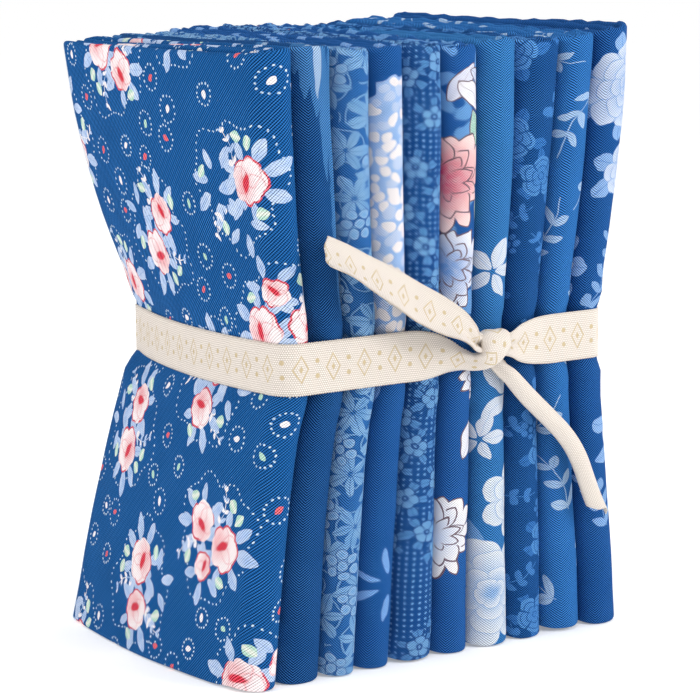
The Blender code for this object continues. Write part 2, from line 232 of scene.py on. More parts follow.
# Steps along a long layer, up the outer ply, up a hidden ply, and round the base and top folds
LONG_STEPS = 36
OUTER_STEPS = 40
HIDDEN_STEPS = 22
BASE_TURN_STEPS = 7
TOP_TURN_STEPS = 11
SHORT_STEPS = LONG_STEPS * 2 // 3

# Across: a station is a share of the way from the open side to the fold, or an angle round one
Station = namedtuple("Station", "section share cosine sine")


def leg(section, count, start, end):
    return [Station(section, share, 0.0, 1.0) for share in np.linspace(start, end, count)]


def turn(section, count, start, end, share):
    stations = []
    for angle in np.radians(np.linspace(start, end, count)):
        cosine, sine = math.cos(angle), math.sin(angle)
        stations.append(
            Station(
                section,
                share,
                math.copysign(abs(cosine) ** SQUARENESS, cosine),
                math.copysign(abs(sine) ** SQUARENESS, sine),
            )
        )
    return stations


def across_stations():
    """The stations of one cut, from its outer raw edge to its inner one."""
    return (
        leg("near", LONG_STEPS, 0.0, 0.985)
        + turn("spine", 23, -90, 90, 1.0)
        + leg("far", LONG_STEPS, 0.985, 0.01)
        + turn("small", 11, 90, 270, 0.0)
        + leg("third", SHORT_STEPS, 0.01, 0.985)
        + turn("nested", 11, 90, -90, 1.0)
        + leg("second", SHORT_STEPS, 0.985, 0.0)
    )


# What each section is measured from: its left end, its middle across the cut, and its outer and
# inner depth and half width
tight = AIR / 2
wide = LAYER + tight
SECTIONS = {
    "near": ("raw_outer", 0.0, (0.0, 0.0), NEAR_LAYER),
    "spine": ("raw_outer", 0.5, SPINE_DEPTH, (0.5, 0.5 - LAYER)),
    "far": ("small", 0.0, (0.0, 0.0), FAR_LAYER[::-1]),
    "small": ("small", FAR_LAYER[0] - tight, SMALL_DEPTH, (wide, tight)),
    "third": ("small", 0.0, (0.0, 0.0), THIRD_LAYER),
    "nested": ("small", 0.5, NESTED_DEPTH[::-1], (tight, wide)),
    "second": ("raw_inner", 0.0, (0.0, 0.0), SECOND_LAYER[::-1]),
}


def station_place(cut, station, z, depth):
    """The x and the share across of a station, at each height and depth in the layer."""
    left_kind, middle, depths, halves = SECTIONS[station.section]
    outline = outline_at(z)
    lefts = {
        "raw_outer": outline.open_x + cut.raw_outer,
        "raw_inner": outline.open_x + cut.raw_inner,
        "small": outline.open_x + SMALL_DEPTH[0],
    }
    fold_x = outline.spine_x + cut.step * splay_at(z) - SPINE_DEPTH[0]
    x = mix(lefts[left_kind], fold_x, station.share) + mix(*depths, depth) * station.cosine
    return x, middle + mix(*halves, depth) * station.sine


# %% The path up: down the tucked third, up the outer ply, and down the last third
def height_shares(count):
    """Shares of the height, closer together near the ribbon and near both ends."""
    fine = np.linspace(0, 1, 400)
    ends = hump(fine, 0, 0.05) + hump(fine, 1, 0.05)
    density = 1.0 + 1.6 * hump(fine, 0.5, 0.09) + 1.4 * ends
    total = np.concatenate(([0.0], np.cumsum((density[1:] + density[:-1]) / 2)))
    return np.interp(np.linspace(0, total[-1], count), total, fine)


Rise = namedtuple("Rise", "depth base top offset")


def rise_stations():
    """For each station up: its depth in the layer, its shares of the base and top heights, and
    what is added to them."""
    shares = height_shares(OUTER_STEPS)
    hidden = height_shares(HIDDEN_STEPS)
    rows = []
    for share in hidden[::-1]:
        low, high = BASE_TURN, -TOP_TURN - TUCKED_EDGE_DROP
        rows.append((TUCKED_PLY, 1 - share, share, mix(low, high, share)))
    for angle in np.radians(np.linspace(0, 180, BASE_TURN_STEPS + 2))[1:-1]:
        depth = mix(TUCKED_PLY, OUTER_PLY, (1 - math.cos(angle)) / 2)
        rows.append((depth, 1.0, 0.0, BASE_TURN * (1 - math.sin(angle))))
    for share in shares:
        rows.append((OUTER_PLY, 1 - share, share, mix(BASE_TURN, -TOP_TURN, share)))
    for angle in np.radians(np.linspace(0, 180, TOP_TURN_STEPS + 2))[1:-1]:
        depth = mix(OUTER_PLY, LAST_PLY, (1 - math.cos(angle)) / 2)
        rows.append((depth, 0.0, 1.0, -TOP_TURN * (1 - math.sin(angle))))
    for share in hidden[::-1]:
        rows.append((LAST_PLY, 1 - share, share, mix(LAST_EDGE_RISE, -TOP_TURN, share)))
    return Rise(*(np.array(column) for column in zip(*rows)))


# %% [markdown]
# ## Soft unevenness
#
# No folded cloth is straight. Each cut was folded by hand, so its top and bottom edges wander by
# half a millimetre, its layers wave a little, and the cloth swells where the ribbon lets go of
# it. Slow waves are added with sines of chosen lengths, so that the result is the same each time.


# %% Waves, creases and the swelling beside the ribbon
def wander(along, seed, length):
    """A slow uneven wave from -1 to 1 along a distance in metres."""
    phase = 2.399 * seed
    turns = 2 * math.pi * along / length
    return (
        0.55 * np.sin(turns + phase)
        + 0.30 * np.sin(2.3 * turns + 1.7 * phase)
        + 0.15 * np.sin(5.1 * turns + 2.9 * phase)
    )


# Creases on the outer faces, listed one by one: from (x, z) to (x, z), their width, and how far
# they stand out or sink in
Crease = namedtuple("Crease", "face x0 z0 x1 z1 width height")
CREASES = (
    Crease("front", -0.052, 0.104, -0.020, 0.128, 0.0060, 0.0007),
    Crease("front", -0.040, 0.104, 0.012, 0.122, 0.0050, -0.0005),
    Crease("front", -0.054, 0.085, -0.034, 0.058, 0.0060, 0.0008),
    Crease("front", -0.030, 0.084, 0.002, 0.060, 0.0070, -0.0006),
    Crease("front", 0.030, 0.084, 0.044, 0.040, 0.0060, 0.0005),
    Crease("front", 0.020, 0.106, 0.046, 0.150, 0.0080, -0.0005),
    Crease("back", -0.046, 0.104, -0.010, 0.130, 0.0060, 0.0007),
    Crease("back", -0.040, 0.084, -0.004, 0.055, 0.0070, 0.0006),
    Crease("back", 0.030, 0.105, 0.044, 0.140, 0.0060, -0.0006),
)

# How far the slow waves reach: the walls, all the folds, each fold by itself, the top edges and
# the base edges, and how far a corner at the base stands off the ground
WALL_WAVE = 0.0008
FOLD_WAVE = 0.0006
OWN_FOLD_WAVE = 0.0004
TOP_WAVE = 0.0006
BASE_WAVE = 0.0003
CORNER_RISE = 0.0007

# How much the top edge of each cut is crumpled, and the length of a crumple
CRUMPLE = (0.0001, 0.0001, 0.0003, 0.0004, 0.0005, 0.0006, 0.0006, 0.0006, 0.0006, 0.0004)
CRUMPLE_LENGTH = 0.011

# The pressed ridge on the second cut's fold: its place round the fold, as a sine, and its height
RIDGE_CUT = 1
RIDGE_PLACE = 0.55
RIDGE_WIDTH = 0.13
RIDGE_HEIGHT = 0.0010

# The swelling beside the ribbon
SWELL = 0.0007
SWELL_AWAY = 0.0052
SWELL_WIDTH = 0.0040
PRESSED = 0.0003

# How deep under the outermost cloth a crease or the swelling is still felt
SKIN = 0.004


def crease_height(face, x, z):
    total = np.zeros_like(x)
    for crease in CREASES:
        if crease.face != face:
            continue
        run = np.array((crease.x1 - crease.x0, crease.z1 - crease.z0))
        length = np.linalg.norm(run)
        run = run / length
        along = ((x - crease.x0) * run[0] + (z - crease.z0) * run[1]) / length
        aside = (x - crease.x0) * run[1] - (z - crease.z0) * run[0]
        ends = smooth(along, -0.25, 0.25) * smooth(-along, -1.35, -0.65)
        total += crease.height * ends * hump(aside, 0.0, crease.width)
    return total


def tie_height(x, y):
    """The height of the ribbon's middle line where it passes this place."""
    return TIE_MIDDLE + TIE_CLIMB_X * x + TIE_CLIMB_Y * y


def outward_push(x, y, z):
    """How far the outermost cloth stands out because the ribbon squeezes it beside itself."""
    away = np.abs(z - tie_height(x, y)) - RIBBON_WIDTH / 2
    swollen = SWELL * hump(away, SWELL_AWAY, SWELL_WIDTH) * smooth(away, 0.0, 0.002)
    return swollen - PRESSED * smooth(-away, -0.001, 0.001)


# %% A sheet of cloth on its folds
def sheet_points(index, cut):
    """The grid of points of one cut, in the outlines' own frame, and how far each of its
    stations has travelled across the flat cloth, measured at four fifths of the height."""
    rise = rise_stations()
    level = np.array([HEIGHT * 0.8])
    columns = []
    travelled = 0.0
    before = None
    for station in across_stations():
        middle_x, middle_across = station_place(cut, station, level, 0.5)
        middle = np.array((middle_x[0], cut_y(index, level, middle_x, middle_across)[0]))
        travelled += 0.0 if before is None else np.linalg.norm(middle - before)
        before = middle
        towards_open = np.clip((TOP.spine_x - middle_x) / (TOP.spine_x - TOP.open_x), 0, 1)
        edge = TOP_WAVE * wander(travelled, index + 1, 0.19)
        edge = edge + CRUMPLE[index] * wander(travelled, index + 7, CRUMPLE_LENGTH)
        top = HEIGHT + mix(cut.rise_fold, cut.rise_open, towards_open)
        top = top + cut.rise_back * middle_across + edge
        corner = abs(station.sine) ** 4 if station.section == "spine" else 0.0
        if station.section in ("near", "far"):
            corner = smooth(station.share, 0.90, 1.0)
        base = cut.lift + BASE_WAVE * (1 + wander(travelled, index + 5, 0.23))
        base = base + CORNER_RISE * corner
        z = rise.base * base + rise.top * top + rise.offset
        x, across = station_place(cut, station, z, rise.depth)
        y = cut_y(index, z, x, across)
        if index == RIDGE_CUT and station.section == "spine":
            ridge = hump(station.sine, RIDGE_PLACE, RIDGE_WIDTH) * smooth(z, 0.112, 0.135)
            x = x + RIDGE_HEIGHT * ridge
        columns.append((x, y, z, np.full_like(z, travelled)))
    return [np.array(part) for part in zip(*columns)]


def uneven(index, x, y, z):
    """The points after the slow waves, the creases and the ribbon's squeeze."""
    outline = outline_at(z)
    depth_front = y - cut_y(0, z, x, 0.0)
    depth_back = cut_y(len(CUTS) - 1, z, x, 1.0) - y
    free = splay_at(z)
    slow = wander(x * 0.7 + z, 2.0, 0.21) * np.cos(9.0 * y / 0.14)
    y = y + WALL_WAVE * free * slow
    x = x + FOLD_WAVE * free * wander(z + 3 * y, 3.0, 0.16)
    x = x + OWN_FOLD_WAVE * free * wander(z, 20 + 3.0 * index, 0.08)
    near_front, near_back = np.exp(-depth_front / SKIN), np.exp(-depth_back / SKIN)
    near_spine = smooth(x, outline.spine_x - 0.009, outline.spine_x - 0.001)
    squeeze = outward_push(x, y, z)
    y = y - near_front * (squeeze + crease_height("front", x, z))
    y = y + near_back * (squeeze + crease_height("back", x, z))
    x = x + near_spine * squeeze
    return x, y, z


def add_grid(name, points, flat, mirrored=False):
    """A sheet through a grid of points. Its UV map holds its flat places on the cloth."""
    rows, columns = points.shape[:2]
    corners = np.arange(rows * columns).reshape(rows, columns)
    quads = (corners[:-1, :-1], corners[1:, :-1], corners[1:, 1:], corners[:-1, 1:])
    quads = np.stack(quads, axis=-1).reshape(-1, 4)
    if mirrored:
        quads = quads[:, (0, 3, 2, 1)]
    mesh = bpy.data.meshes.new(name)
    mesh.from_pydata(points.reshape(-1, 3).tolist(), [], quads.tolist())
    layer = mesh.uv_layers.new(name="cloth")
    layer.data.foreach_set("uv", flat.reshape(-1, 2)[quads.reshape(-1)].reshape(-1))
    obj = bpy.data.objects.new(name, mesh)
    bpy.context.scene.collection.objects.link(obj)
    return obj


def make_sheet(name, index, cut):
    x, y, z, travelled = sheet_points(index, cut)
    x, y, z = uneven(index, x, y, z)
    points = np.stack((x + MOVE_X, y + MOVE_Y, z), axis=-1)

    # The cloth's own coordinates in metres: u along its width and v along its length
    across_count, up_count = x.shape
    steps = np.abs(np.diff(z, axis=1)).mean(axis=0)
    turns = np.linalg.norm(np.diff(np.stack((y, z)), axis=2), axis=0).mean(axis=0)
    up = np.concatenate(([0.0], np.cumsum(np.maximum(steps, turns))))
    u = (travelled[:, :1] / travelled[-1, 0] * CUT_WIDTH).repeat(up_count, axis=1)
    v = (up / up[-1] * CUT_LENGTH)[None, :].repeat(across_count, axis=0)
    return add_grid(name, points, np.stack((u, v), axis=-1))


def thicken(sheet, thickness, probe, printed_way):
    """Give a sheet its thickness and mark the faces of its reverse. The printed side of the
    face numbered probe looks the printed way."""
    count = len(sheet.data.polygons)
    solid = sheet.modifiers.new("thickness", "SOLIDIFY")
    solid.thickness = thickness
    solid.offset = 0.0
    with bpy.context.temp_override(object=sheet, active_object=sheet, selected_objects=[sheet]):
        bpy.ops.object.modifier_apply(modifier="thickness")
    first_is_printed = sheet.data.polygons[probe].normal.dot(printed_way) > 0
    reverse = np.zeros(len(sheet.data.polygons))
    reverse[count : 2 * count] = 1.0 if first_is_printed else 0.0
    reverse[:count] = 0.0 if first_is_printed else 1.0
    mark = sheet.data.attributes.new("reverse_side", "FLOAT", "FACE")
    mark.data.foreach_set("value", reverse)
    sheet.data.shade_smooth()


# A face in the middle of the front of the outer ply, in the tenth column of faces
FACES_UP = HIDDEN_STEPS + BASE_TURN_STEPS + OUTER_STEPS + TOP_TURN_STEPS + HIDDEN_STEPS - 1
PANEL_FACE = 9 * FACES_UP + HIDDEN_STEPS + BASE_TURN_STEPS + OUTER_STEPS // 2

sheets = []
for index, cut in enumerate(CUTS):
    sheet = make_sheet(f"cloth_{index + 1:02d}", index, cut)
    thicken(sheet, CLOTH_THICKNESS, PANEL_FACE, Vector((0, -1, 0)))
    node = f"fat_quarter_{index + 1:02d}"
    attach(sheet, "root")
    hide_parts(node)
    sheets.append(sheet)
    print(node, len(sheet.data.polygons) * 2, "triangles")

# %% [markdown]
# ## The ribbon
#
# The tie is one length of cotton tape. Its middle line is a list of places: a free end, the turns
# of the half knot, once round the bundle, the knot again and the other free end. At each place
# the tape is flat, gathered into small pleats, or rolled along its length, but never wider or
# narrower than it was woven. Bending one flat strip keeps the knot believable.

# %% The places of the tape's middle line
# x stands off the line of the folds, y runs across them and z is the height. Lean turns the
# tape's width from upright towards +y, tip turns it outwards, gather is the share of its width
# that shows between pleats, and curl is how far it is rolled, in degrees.
Place = namedtuple("Place", "off y z lean tip gather curl hollow")
UPPER_STRAND = (
    Place(0.0088, -0.0503, 0.1289, 30, -47, 1.00, 105, 0.60),
    Place(0.0084, -0.0415, 0.1251, 30, -46, 1.00, 100, 0.60),
    Place(0.0078, -0.0336, 0.1209, 30, -42, 1.00, 85, 0.60),
    Place(0.0072, -0.0246, 0.1163, 30, -36, 1.00, 75, 0.60),
    Place(0.0068, -0.0162, 0.1113, 30, -32, 1.00, 75, 0.60),
    Place(0.0072, -0.0072, 0.1065, 30, -30, 0.96, 90, 0.60),
    Place(0.0076, -0.0006, 0.1031, 31, -32, 0.84, 110, 0.55),
    Place(0.0066, 0.0040, 0.1000, 32, -22, 0.60, 120, 0.50),
    Place(0.0046, 0.0074, 0.0978, 20, -8, 0.46, 120, 0.40),
    Place(0.0034, 0.0115, 0.0964, 6, 0, 0.42, 120, 0.40),
    Place(0.0030, 0.0160, 0.0957, 0, 0, 0.42, 110, 0.40),
    Place(0.0028, 0.0198, 0.0954, 0, 2, 0.46, 90, 0.40),
    Place(0.0022, 0.0228, 0.0953, 0, 3, 0.56, 70, 0.50),
    Place(0.0014, 0.0265, 0.0952, 0, 3, 0.76, 40, 0.50),
    Place(0.0008, 0.0310, 0.0951, 0, 2, 0.90, 20, 0.50),
    Place(0.0004, 0.0355, 0.0951, 0, 0, 0.97, 8, 0.50),
    Place(0.0003, 0.0400, 0.0951, 0, 0, 1.00, 3, 0.50),
)
LOWER_STRAND = (
    Place(0.0003, -0.0140, 0.0948, 0, 0, 1.00, 3, -0.40),
    Place(0.0004, -0.0100, 0.0946, 0, 0, 0.98, 10, -0.40),
    Place(0.0010, -0.0055, 0.0943, 0, 0, 0.90, 35, -0.40),
    Place(0.0018, -0.0008, 0.0935, 0, 0, 0.76, 90, -0.40),
    Place(0.0030, 0.0034, 0.0922, -6, 0, 0.60, 150, -0.45),
    Place(0.0046, 0.0070, 0.0910, -20, 0, 0.52, 190, -0.50),
    Place(0.0062, 0.0104, 0.0914, -45, 0, 0.62, 190, -0.50),
    Place(0.0070, 0.0132, 0.0938, -70, 0, 0.84, 160, -0.50),
    Place(0.0068, 0.0148, 0.0972, -84, 0, 0.94, 140, -0.45),
    Place(0.0048, 0.0152, 0.1003, -90, 0, 0.92, 140, -0.35),
    Place(0.0018, 0.0152, 0.1002, -90, 0, 0.80, 120, -0.20),
    Place(0.0006, 0.0156, 0.0966, -90, 0, 0.64, 120, -0.10),
    Place(0.0010, 0.0166, 0.0922, -94, 0, 0.56, 140, 0.10),
    Place(0.0030, 0.0186, 0.0890, -108, 0, 0.60, 200, 0.30),
    Place(0.0048, 0.0212, 0.0861, -125, 0, 0.72, 240, 0.40),
    Place(0.0052, 0.0240, 0.0830, -132, 0, 0.80, 250, 0.42),
    Place(0.0054, 0.0274, 0.0794, -135, 0, 0.84, 255, 0.42),
    Place(0.0052, 0.0322, 0.0751, -138, 0, 0.84, 255, 0.42),
    Place(0.0050, 0.0374, 0.0705, -137, 0, 0.84, 255, 0.42),
    Place(0.0048, 0.0421, 0.0661, -133, 0, 0.84, 250, 0.42),
    Place(0.0046, 0.0460, 0.0615, -128, 0, 0.86, 250, 0.42),
    Place(0.0046, 0.0491, 0.0563, -116, 0, 0.88, 250, 0.42),
    Place(0.0048, 0.0514, 0.0506, -110, 0, 0.88, 250, 0.42),
    Place(0.0052, 0.0541, 0.0436, -112, 0, 0.90, 255, 0.42),
    Place(0.0058, 0.0574, 0.0366, -114, 0, 0.90, 260, 0.42),
)
UPPER_SLANT = 0.0022
LOWER_SLANT = 0.0080
BAND_LIFT = 0.00025


def band_plan():
    """The plan of the flat band from the near side of the knot round the bundle to its far
    side, as points that lie on the drawn-in cloth."""
    z = np.array([TIE_MIDDLE])
    outline = outline_at(z)
    fold_x = float(outline.spine_x[0]) - SPINE_DEPTH[0]
    open_x = float(outline.open_x[0])
    last = len(CUTS) - 1
    points = []

    def add(index, x, across):
        points.append((x, float(cut_y(index, z, np.array([x]), across)[0])))

    def corner(index, angles):
        for angle in np.radians(angles):
            cosine, sine = math.cos(angle), math.sin(angle)
            x = fold_x + SPINE_DEPTH[0] * math.copysign(abs(cosine) ** SQUARENESS, cosine)
            add(index, x, 0.5 + 0.5 * math.copysign(abs(sine) ** SQUARENESS, sine))

    spine_x = fold_x + SPINE_DEPTH[0]
    far_y = float(cut_y(last, z, np.array([spine_x]), 0.45)[0])
    points += [(spine_x, y) for y in np.linspace(0.045, far_y, 4)]
    corner(last, np.linspace(12, 90, 8))
    for share in np.linspace(0.97, 0.0, 24):
        add(last, mix(open_x, fold_x, share), 1.0)
    front_y = float(cut_y(0, z, np.array([open_x]), 0.0)[0])
    back_y = points[-1][1]
    points += [(open_x, y) for y in np.linspace(back_y - 0.0012, front_y + 0.0012, 14)]
    for share in np.linspace(0.0, 0.97, 24):
        add(0, mix(open_x, fold_x, share), 0.0)
    corner(0, np.linspace(-90, -12, 8))
    near_y = points[-1][1]
    points += [(spine_x, y) for y in np.linspace(near_y + 0.003, -0.019, 5)]
    return points


def tape_places():
    """The tape's middle line with its lean, tip, gather, curl, hollow and lift, end to end."""
    rows = []
    for place in UPPER_STRAND:
        rows.append((TIED.spine_x + place.off, *place[1:], 0.0))
    for x, y in band_plan():
        rows.append((x, y, tie_height(x, y), 0, 0, 1.0, 0, 0.5, BAND_LIFT))
    for place in LOWER_STRAND:
        rows.append((TIED.spine_x + place.off, *place[1:], 0.0))
    return np.array(rows)


def spline(rows, steps):
    """Points on a smooth curve through rows, evenly spaced along its first three columns."""
    padded = np.vstack((2 * rows[0] - rows[1], rows, 2 * rows[-1] - rows[-2]))
    fine = []
    for before, start, end, after in zip(padded, padded[1:], padded[2:], padded[3:]):
        spans = ((before, start), (start, end), (end, after))
        spans = [max(1e-6, np.linalg.norm((q - p)[:3])) ** 0.5 for p, q in spans]
        t0, t1, t2, t3 = np.cumsum([0.0] + spans)
        for t in np.linspace(t1, t2, 12, endpoint=False):
            a1 = before * (t1 - t) / (t1 - t0) + start * (t - t0) / (t1 - t0)
            a2 = start * (t2 - t) / (t2 - t1) + end * (t - t1) / (t2 - t1)
            a3 = end * (t3 - t) / (t3 - t2) + after * (t - t2) / (t3 - t2)
            b1 = a1 * (t2 - t) / (t2 - t0) + a2 * (t - t0) / (t2 - t0)
            b2 = a2 * (t3 - t) / (t3 - t1) + a3 * (t - t1) / (t3 - t1)
            fine.append(b1 * (t2 - t) / (t2 - t1) + b2 * (t - t1) / (t2 - t1))
    fine.append(rows[-1])
    fine = np.array(fine)
    gone = np.cumsum(np.linalg.norm(np.diff(fine[:, :3], axis=0), axis=1))
    lengths = np.concatenate(([0.0], gone))
    count = int(lengths[-1] / steps)
    wanted = np.linspace(0, lengths[-1], count + 1)
    return np.stack([np.interp(wanted, lengths, column) for column in fine.T], axis=1), wanted


# %% The tape as one bent strip
TAPE_STEP = 0.00045
TAPE_ACROSS = 15
TAPE_THICKNESS = 0.00045
PLEATS = 2
SELVEDGE = 0.00016
SELVEDGE_PITCH = 0.0009
FRAY = 0.00025

# How far from an end its slant and its fray are felt
UPPER_SLANT_RUN = 0.012
LOWER_SLANT_RUN = 0.022
FRAY_RUN = 0.003


def bend_tape(rows):
    """The grid of points of the tape, from its middle line and the way it is bent there."""
    line, length = spline(rows, TAPE_STEP)
    middle = line[:, :3]
    run = np.gradient(middle, axis=0)
    run /= np.linalg.norm(run, axis=1)[:, None]
    lean, tip = np.radians(line[:, 3]), np.radians(line[:, 4])
    width = np.stack((np.sin(tip), np.cos(tip) * np.sin(lean), np.cos(tip) * np.cos(lean)), axis=1)
    width -= run * (width * run).sum(axis=1)[:, None]
    width /= np.linalg.norm(width, axis=1)[:, None]
    normal = np.cross(width, run)
    gather, hollow, lift = line[:, 5], line[:, 7], line[:, 8]
    curl = np.radians(np.maximum(line[:, 6], 0.5))
    points = []
    for share in np.linspace(-1, 1, TAPE_ACROSS):
        angle = share * curl / 2
        radius = RIBBON_WIDTH / curl
        aside = radius * np.sin(angle) * gather
        out = radius * (np.cos(angle) - 1) * hollow - lift
        pleat = RIBBON_WIDTH * gather / (math.pi * PLEATS) * np.maximum(1 / gather - 1, 0)
        out = out + 0.5 * pleat * np.cos(math.pi * PLEATS * share + 0.6)
        if abs(share) == 1:
            aside = aside + share * SELVEDGE * np.sin(2 * math.pi * length / SELVEDGE_PITCH)
        bent = middle + width * aside[:, None] + normal * out[:, None]

        # Both ends are cut aslant and frayed, so this thread of the warp is shorter than the tape
        last = length[-1]
        start = UPPER_SLANT * (1 + share) / 2 * smooth(-length, -UPPER_SLANT_RUN, 0.0)
        end = LOWER_SLANT * (1 + share) / 2 * smooth(length, last - LOWER_SLANT_RUN, last)
        ragged = FRAY * math.sin(7.9 * share + 1.0)
        start = start + (FRAY + ragged) * smooth(-length, -FRAY_RUN, 0.0)
        end = end + (FRAY - ragged) * smooth(length, last - FRAY_RUN, last)
        places = length + start - end
        points.append(np.stack([np.interp(places, length, column) for column in bent.T], axis=1))
    return np.array(points), length


tape_points, tape_length = bend_tape(tape_places())
across_count, along_count = tape_points.shape[:2]
tape_points = tape_points + np.array((MOVE_X, MOVE_Y, 0.0))
flat_across = np.linspace(0, RIBBON_WIDTH, across_count)[:, None].repeat(along_count, axis=1)
flat_along = tape_length[None, :].repeat(across_count, axis=0)
flat = np.stack((flat_across, flat_along), axis=-1)
ribbon = add_grid("ribbon", tape_points, flat, mirrored=True)

# A face on the printed side, where the band lies on the first cut's panel
front_steps = np.abs(tape_points[TAPE_ACROSS // 2, :, 1] - tape_points[:, :, 1].min())
front_probe = (TAPE_ACROSS // 2) * (along_count - 1) + int(front_steps.argmin())
thicken(ribbon, TAPE_THICKNESS, front_probe, Vector((0, -1, 0)))
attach(ribbon, "root")
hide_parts("ribbon_tie")

# %% [markdown]
# ## Writing a print as sums
#
# A printed cotton is a ground colour with small motifs laid over it. Each motif is drawn from
# distances on the cloth: a dot is where the distance to its middle is small, a leaf is where the
# distance to its vein is less than a width that swells and shrinks. Every such sum is a few Math
# nodes. A small class lets a node socket be written in a formula like a number, so that the
# formulas can be read, and each formula still becomes plain nodes that can be opened and changed.

# %% A socket that can be written in a formula
def connect(value, socket):
    if isinstance(value, Signal):
        socket.id_data.links.new(value.socket, socket)
    else:
        socket.default_value = value


def reckon(operation, *values, clamp=False):
    """One Math node; its values are signals or numbers."""
    tree = next(value for value in values if isinstance(value, Signal)).socket.id_data
    node = tree.nodes.new("ShaderNodeMath")
    node.operation = operation
    node.use_clamp = clamp
    for value, socket in zip(values, node.inputs):
        connect(value, socket)
    return Signal(node.outputs["Value"])


class Signal:
    def __init__(self, socket):
        self.socket = socket

    def __add__(self, other):
        return reckon("ADD", self, other)

    def __sub__(self, other):
        return reckon("SUBTRACT", self, other)

    def __rsub__(self, other):
        return reckon("SUBTRACT", other, self)

    def __mul__(self, other):
        return reckon("MULTIPLY", self, other)

    def __truediv__(self, other):
        return reckon("DIVIDE", self, other)

    def __rtruediv__(self, other):
        return reckon("DIVIDE", other, self)

    def __pow__(self, other):
        return reckon("POWER", self, other)

    def __abs__(self):
        return reckon("ABSOLUTE", self)

    __radd__ = __add__
    __rmul__ = __mul__


FULL_TURN = 6.2832
HALF_TURN = 3.1416


def sine(value):
    return reckon("SINE", value) if isinstance(value, Signal) else math.sin(value)


def cosine(value):
    return reckon("COSINE", value) if isinstance(value, Signal) else math.cos(value)


def length_of(x, y):
    return reckon("SQRT", x * x + y * y)


def wrap(value, low, high):
    return reckon("WRAP", value, high, low)


def inside(distance, edge, soft=0.12):
    """1 where the distance is less than the edge, fading over the named softness in mm."""
    return reckon("ADD", (edge - distance) / soft, 0.5, clamp=True)


def chosen(chance, above):
    """1 in the cells whose chance is above the number."""
    return reckon("GREATER_THAN", chance, above)


def either(first, second):
    return reckon("MAXIMUM", first, second)


def turned(x, y, angle):
    """The place seen from axes turned by the angle."""
    across, up = cosine(angle), sine(angle)
    return x * across + y * up, y * across - x * up


# %% Node groups made from formulas
def make_group(name, inputs, outputs, recipe):
    """A node group of number sockets, filled by a recipe."""
    tree = bpy.data.node_groups.new(name, "ShaderNodeTree")
    for label, value in inputs.items():
        socket = tree.interface.new_socket(label, in_out="INPUT", socket_type="NodeSocketFloat")
        socket.default_value = value
    for label in outputs:
        tree.interface.new_socket(label, in_out="OUTPUT", socket_type="NodeSocketFloat")
    given = tree.nodes.new("NodeGroupInput")
    results = tree.nodes.new("NodeGroupOutput")
    drawn = recipe(*[Signal(socket) for socket in given.outputs[: len(inputs)]])
    for value, socket in zip(drawn, results.inputs):
        connect(value, socket)
    print("Group", name, "has", len(tree.nodes), "nodes")
    return tree


def use(tree, group, **values):
    """Place a group in a material's tree and return its outputs. A space in the name of an
    input is written as an underscore."""
    node = tree.nodes.new("ShaderNodeGroup")
    node.node_tree = group
    for label, value in values.items():
        connect(value, node.inputs[label.replace("_", " ")])
    outputs = [Signal(socket) for socket in node.outputs]
    return outputs[0] if len(outputs) == 1 else outputs


def together(x, y):
    """The vector of two signals."""
    node = x.socket.id_data.nodes.new("ShaderNodeCombineXYZ")
    connect(x, node.inputs["X"])
    connect(y, node.inputs["Y"])
    return Signal(node.outputs["Vector"])


def apart(vector):
    node = vector.socket.id_data.nodes.new("ShaderNodeSeparateXYZ")
    connect(vector, node.inputs["Vector"])
    return Signal(node.outputs["X"]), Signal(node.outputs["Y"])


# %% [markdown]
# ## Where motifs lie
#
# A printed cotton repeats its motifs loosely, never quite in rows. A Voronoi texture splits the
# cloth into cells round scattered middles. Measured from the middle of its own cell, every place
# on the cloth can be drawn with the same motif, and the cell's random colour turns the motif and
# chooses between its kinds.


# %% Groups: scattered places, a hand's wobble
def scatter_recipe(x, y, cell, lean, shift_x, shift_y, jitter, spin):
    along, across = turned(x - shift_x, y - shift_y, lean)
    tree = x.socket.id_data
    cells = tree.nodes.new("ShaderNodeTexVoronoi")
    cells.voronoi_dimensions = "2D"
    connect(together(along / cell, across / cell), cells.inputs["Vector"])
    connect(1.0, cells.inputs["Scale"])
    connect(jitter, cells.inputs["Randomness"])
    middle_x, middle_y = apart(Signal(cells.outputs["Position"]))
    middle_x, middle_y = middle_x * cell, middle_y * cell
    split = tree.nodes.new("ShaderNodeSeparateColor")
    connect(Signal(cells.outputs["Color"]), split.inputs["Color"])
    chance, second = Signal(split.outputs["Red"]), Signal(split.outputs["Green"])
    local_x, local_y = turned(along - middle_x, across - middle_y, chance * spin)
    centre_x, centre_y = turned(middle_x, middle_y, 0 - lean)
    return local_x, local_y, chance, second, centre_x + shift_x, centre_y + shift_y


SCATTER = make_group(
    "scattered places",
    {
        "X": 0,
        "Y": 0,
        "Cell": 20,
        "Lean": 0.3,
        "Shift X": 0,
        "Shift Y": 0,
        "Jitter": 0.25,
        "Spin": 6.283,
    },
    ("X", "Y", "Chance", "Second chance", "Centre X", "Centre Y"),
    scatter_recipe,
)


def wobble_recipe(x, y, amount, length):
    tree = x.socket.id_data
    noise = tree.nodes.new("ShaderNodeTexNoise")
    noise.noise_dimensions = "2D"
    connect(together(x / length, y / length), noise.inputs["Vector"])
    connect(1.0, noise.inputs["Scale"])
    connect(1.0, noise.inputs["Detail"])
    split = tree.nodes.new("ShaderNodeSeparateColor")
    connect(Signal(noise.outputs["Color"]), split.inputs["Color"])
    red, green = Signal(split.outputs["Red"]), Signal(split.outputs["Green"])
    return x + (red - 0.5) * amount, y + (green - 0.5) * amount, red, green


WOBBLE = make_group(
    "hand's wobble",
    {"X": 0, "Y": 0, "Amount": 1.0, "Length": 3.0},
    ("X", "Y", "Cloud", "Other cloud"),
    wobble_recipe,
)

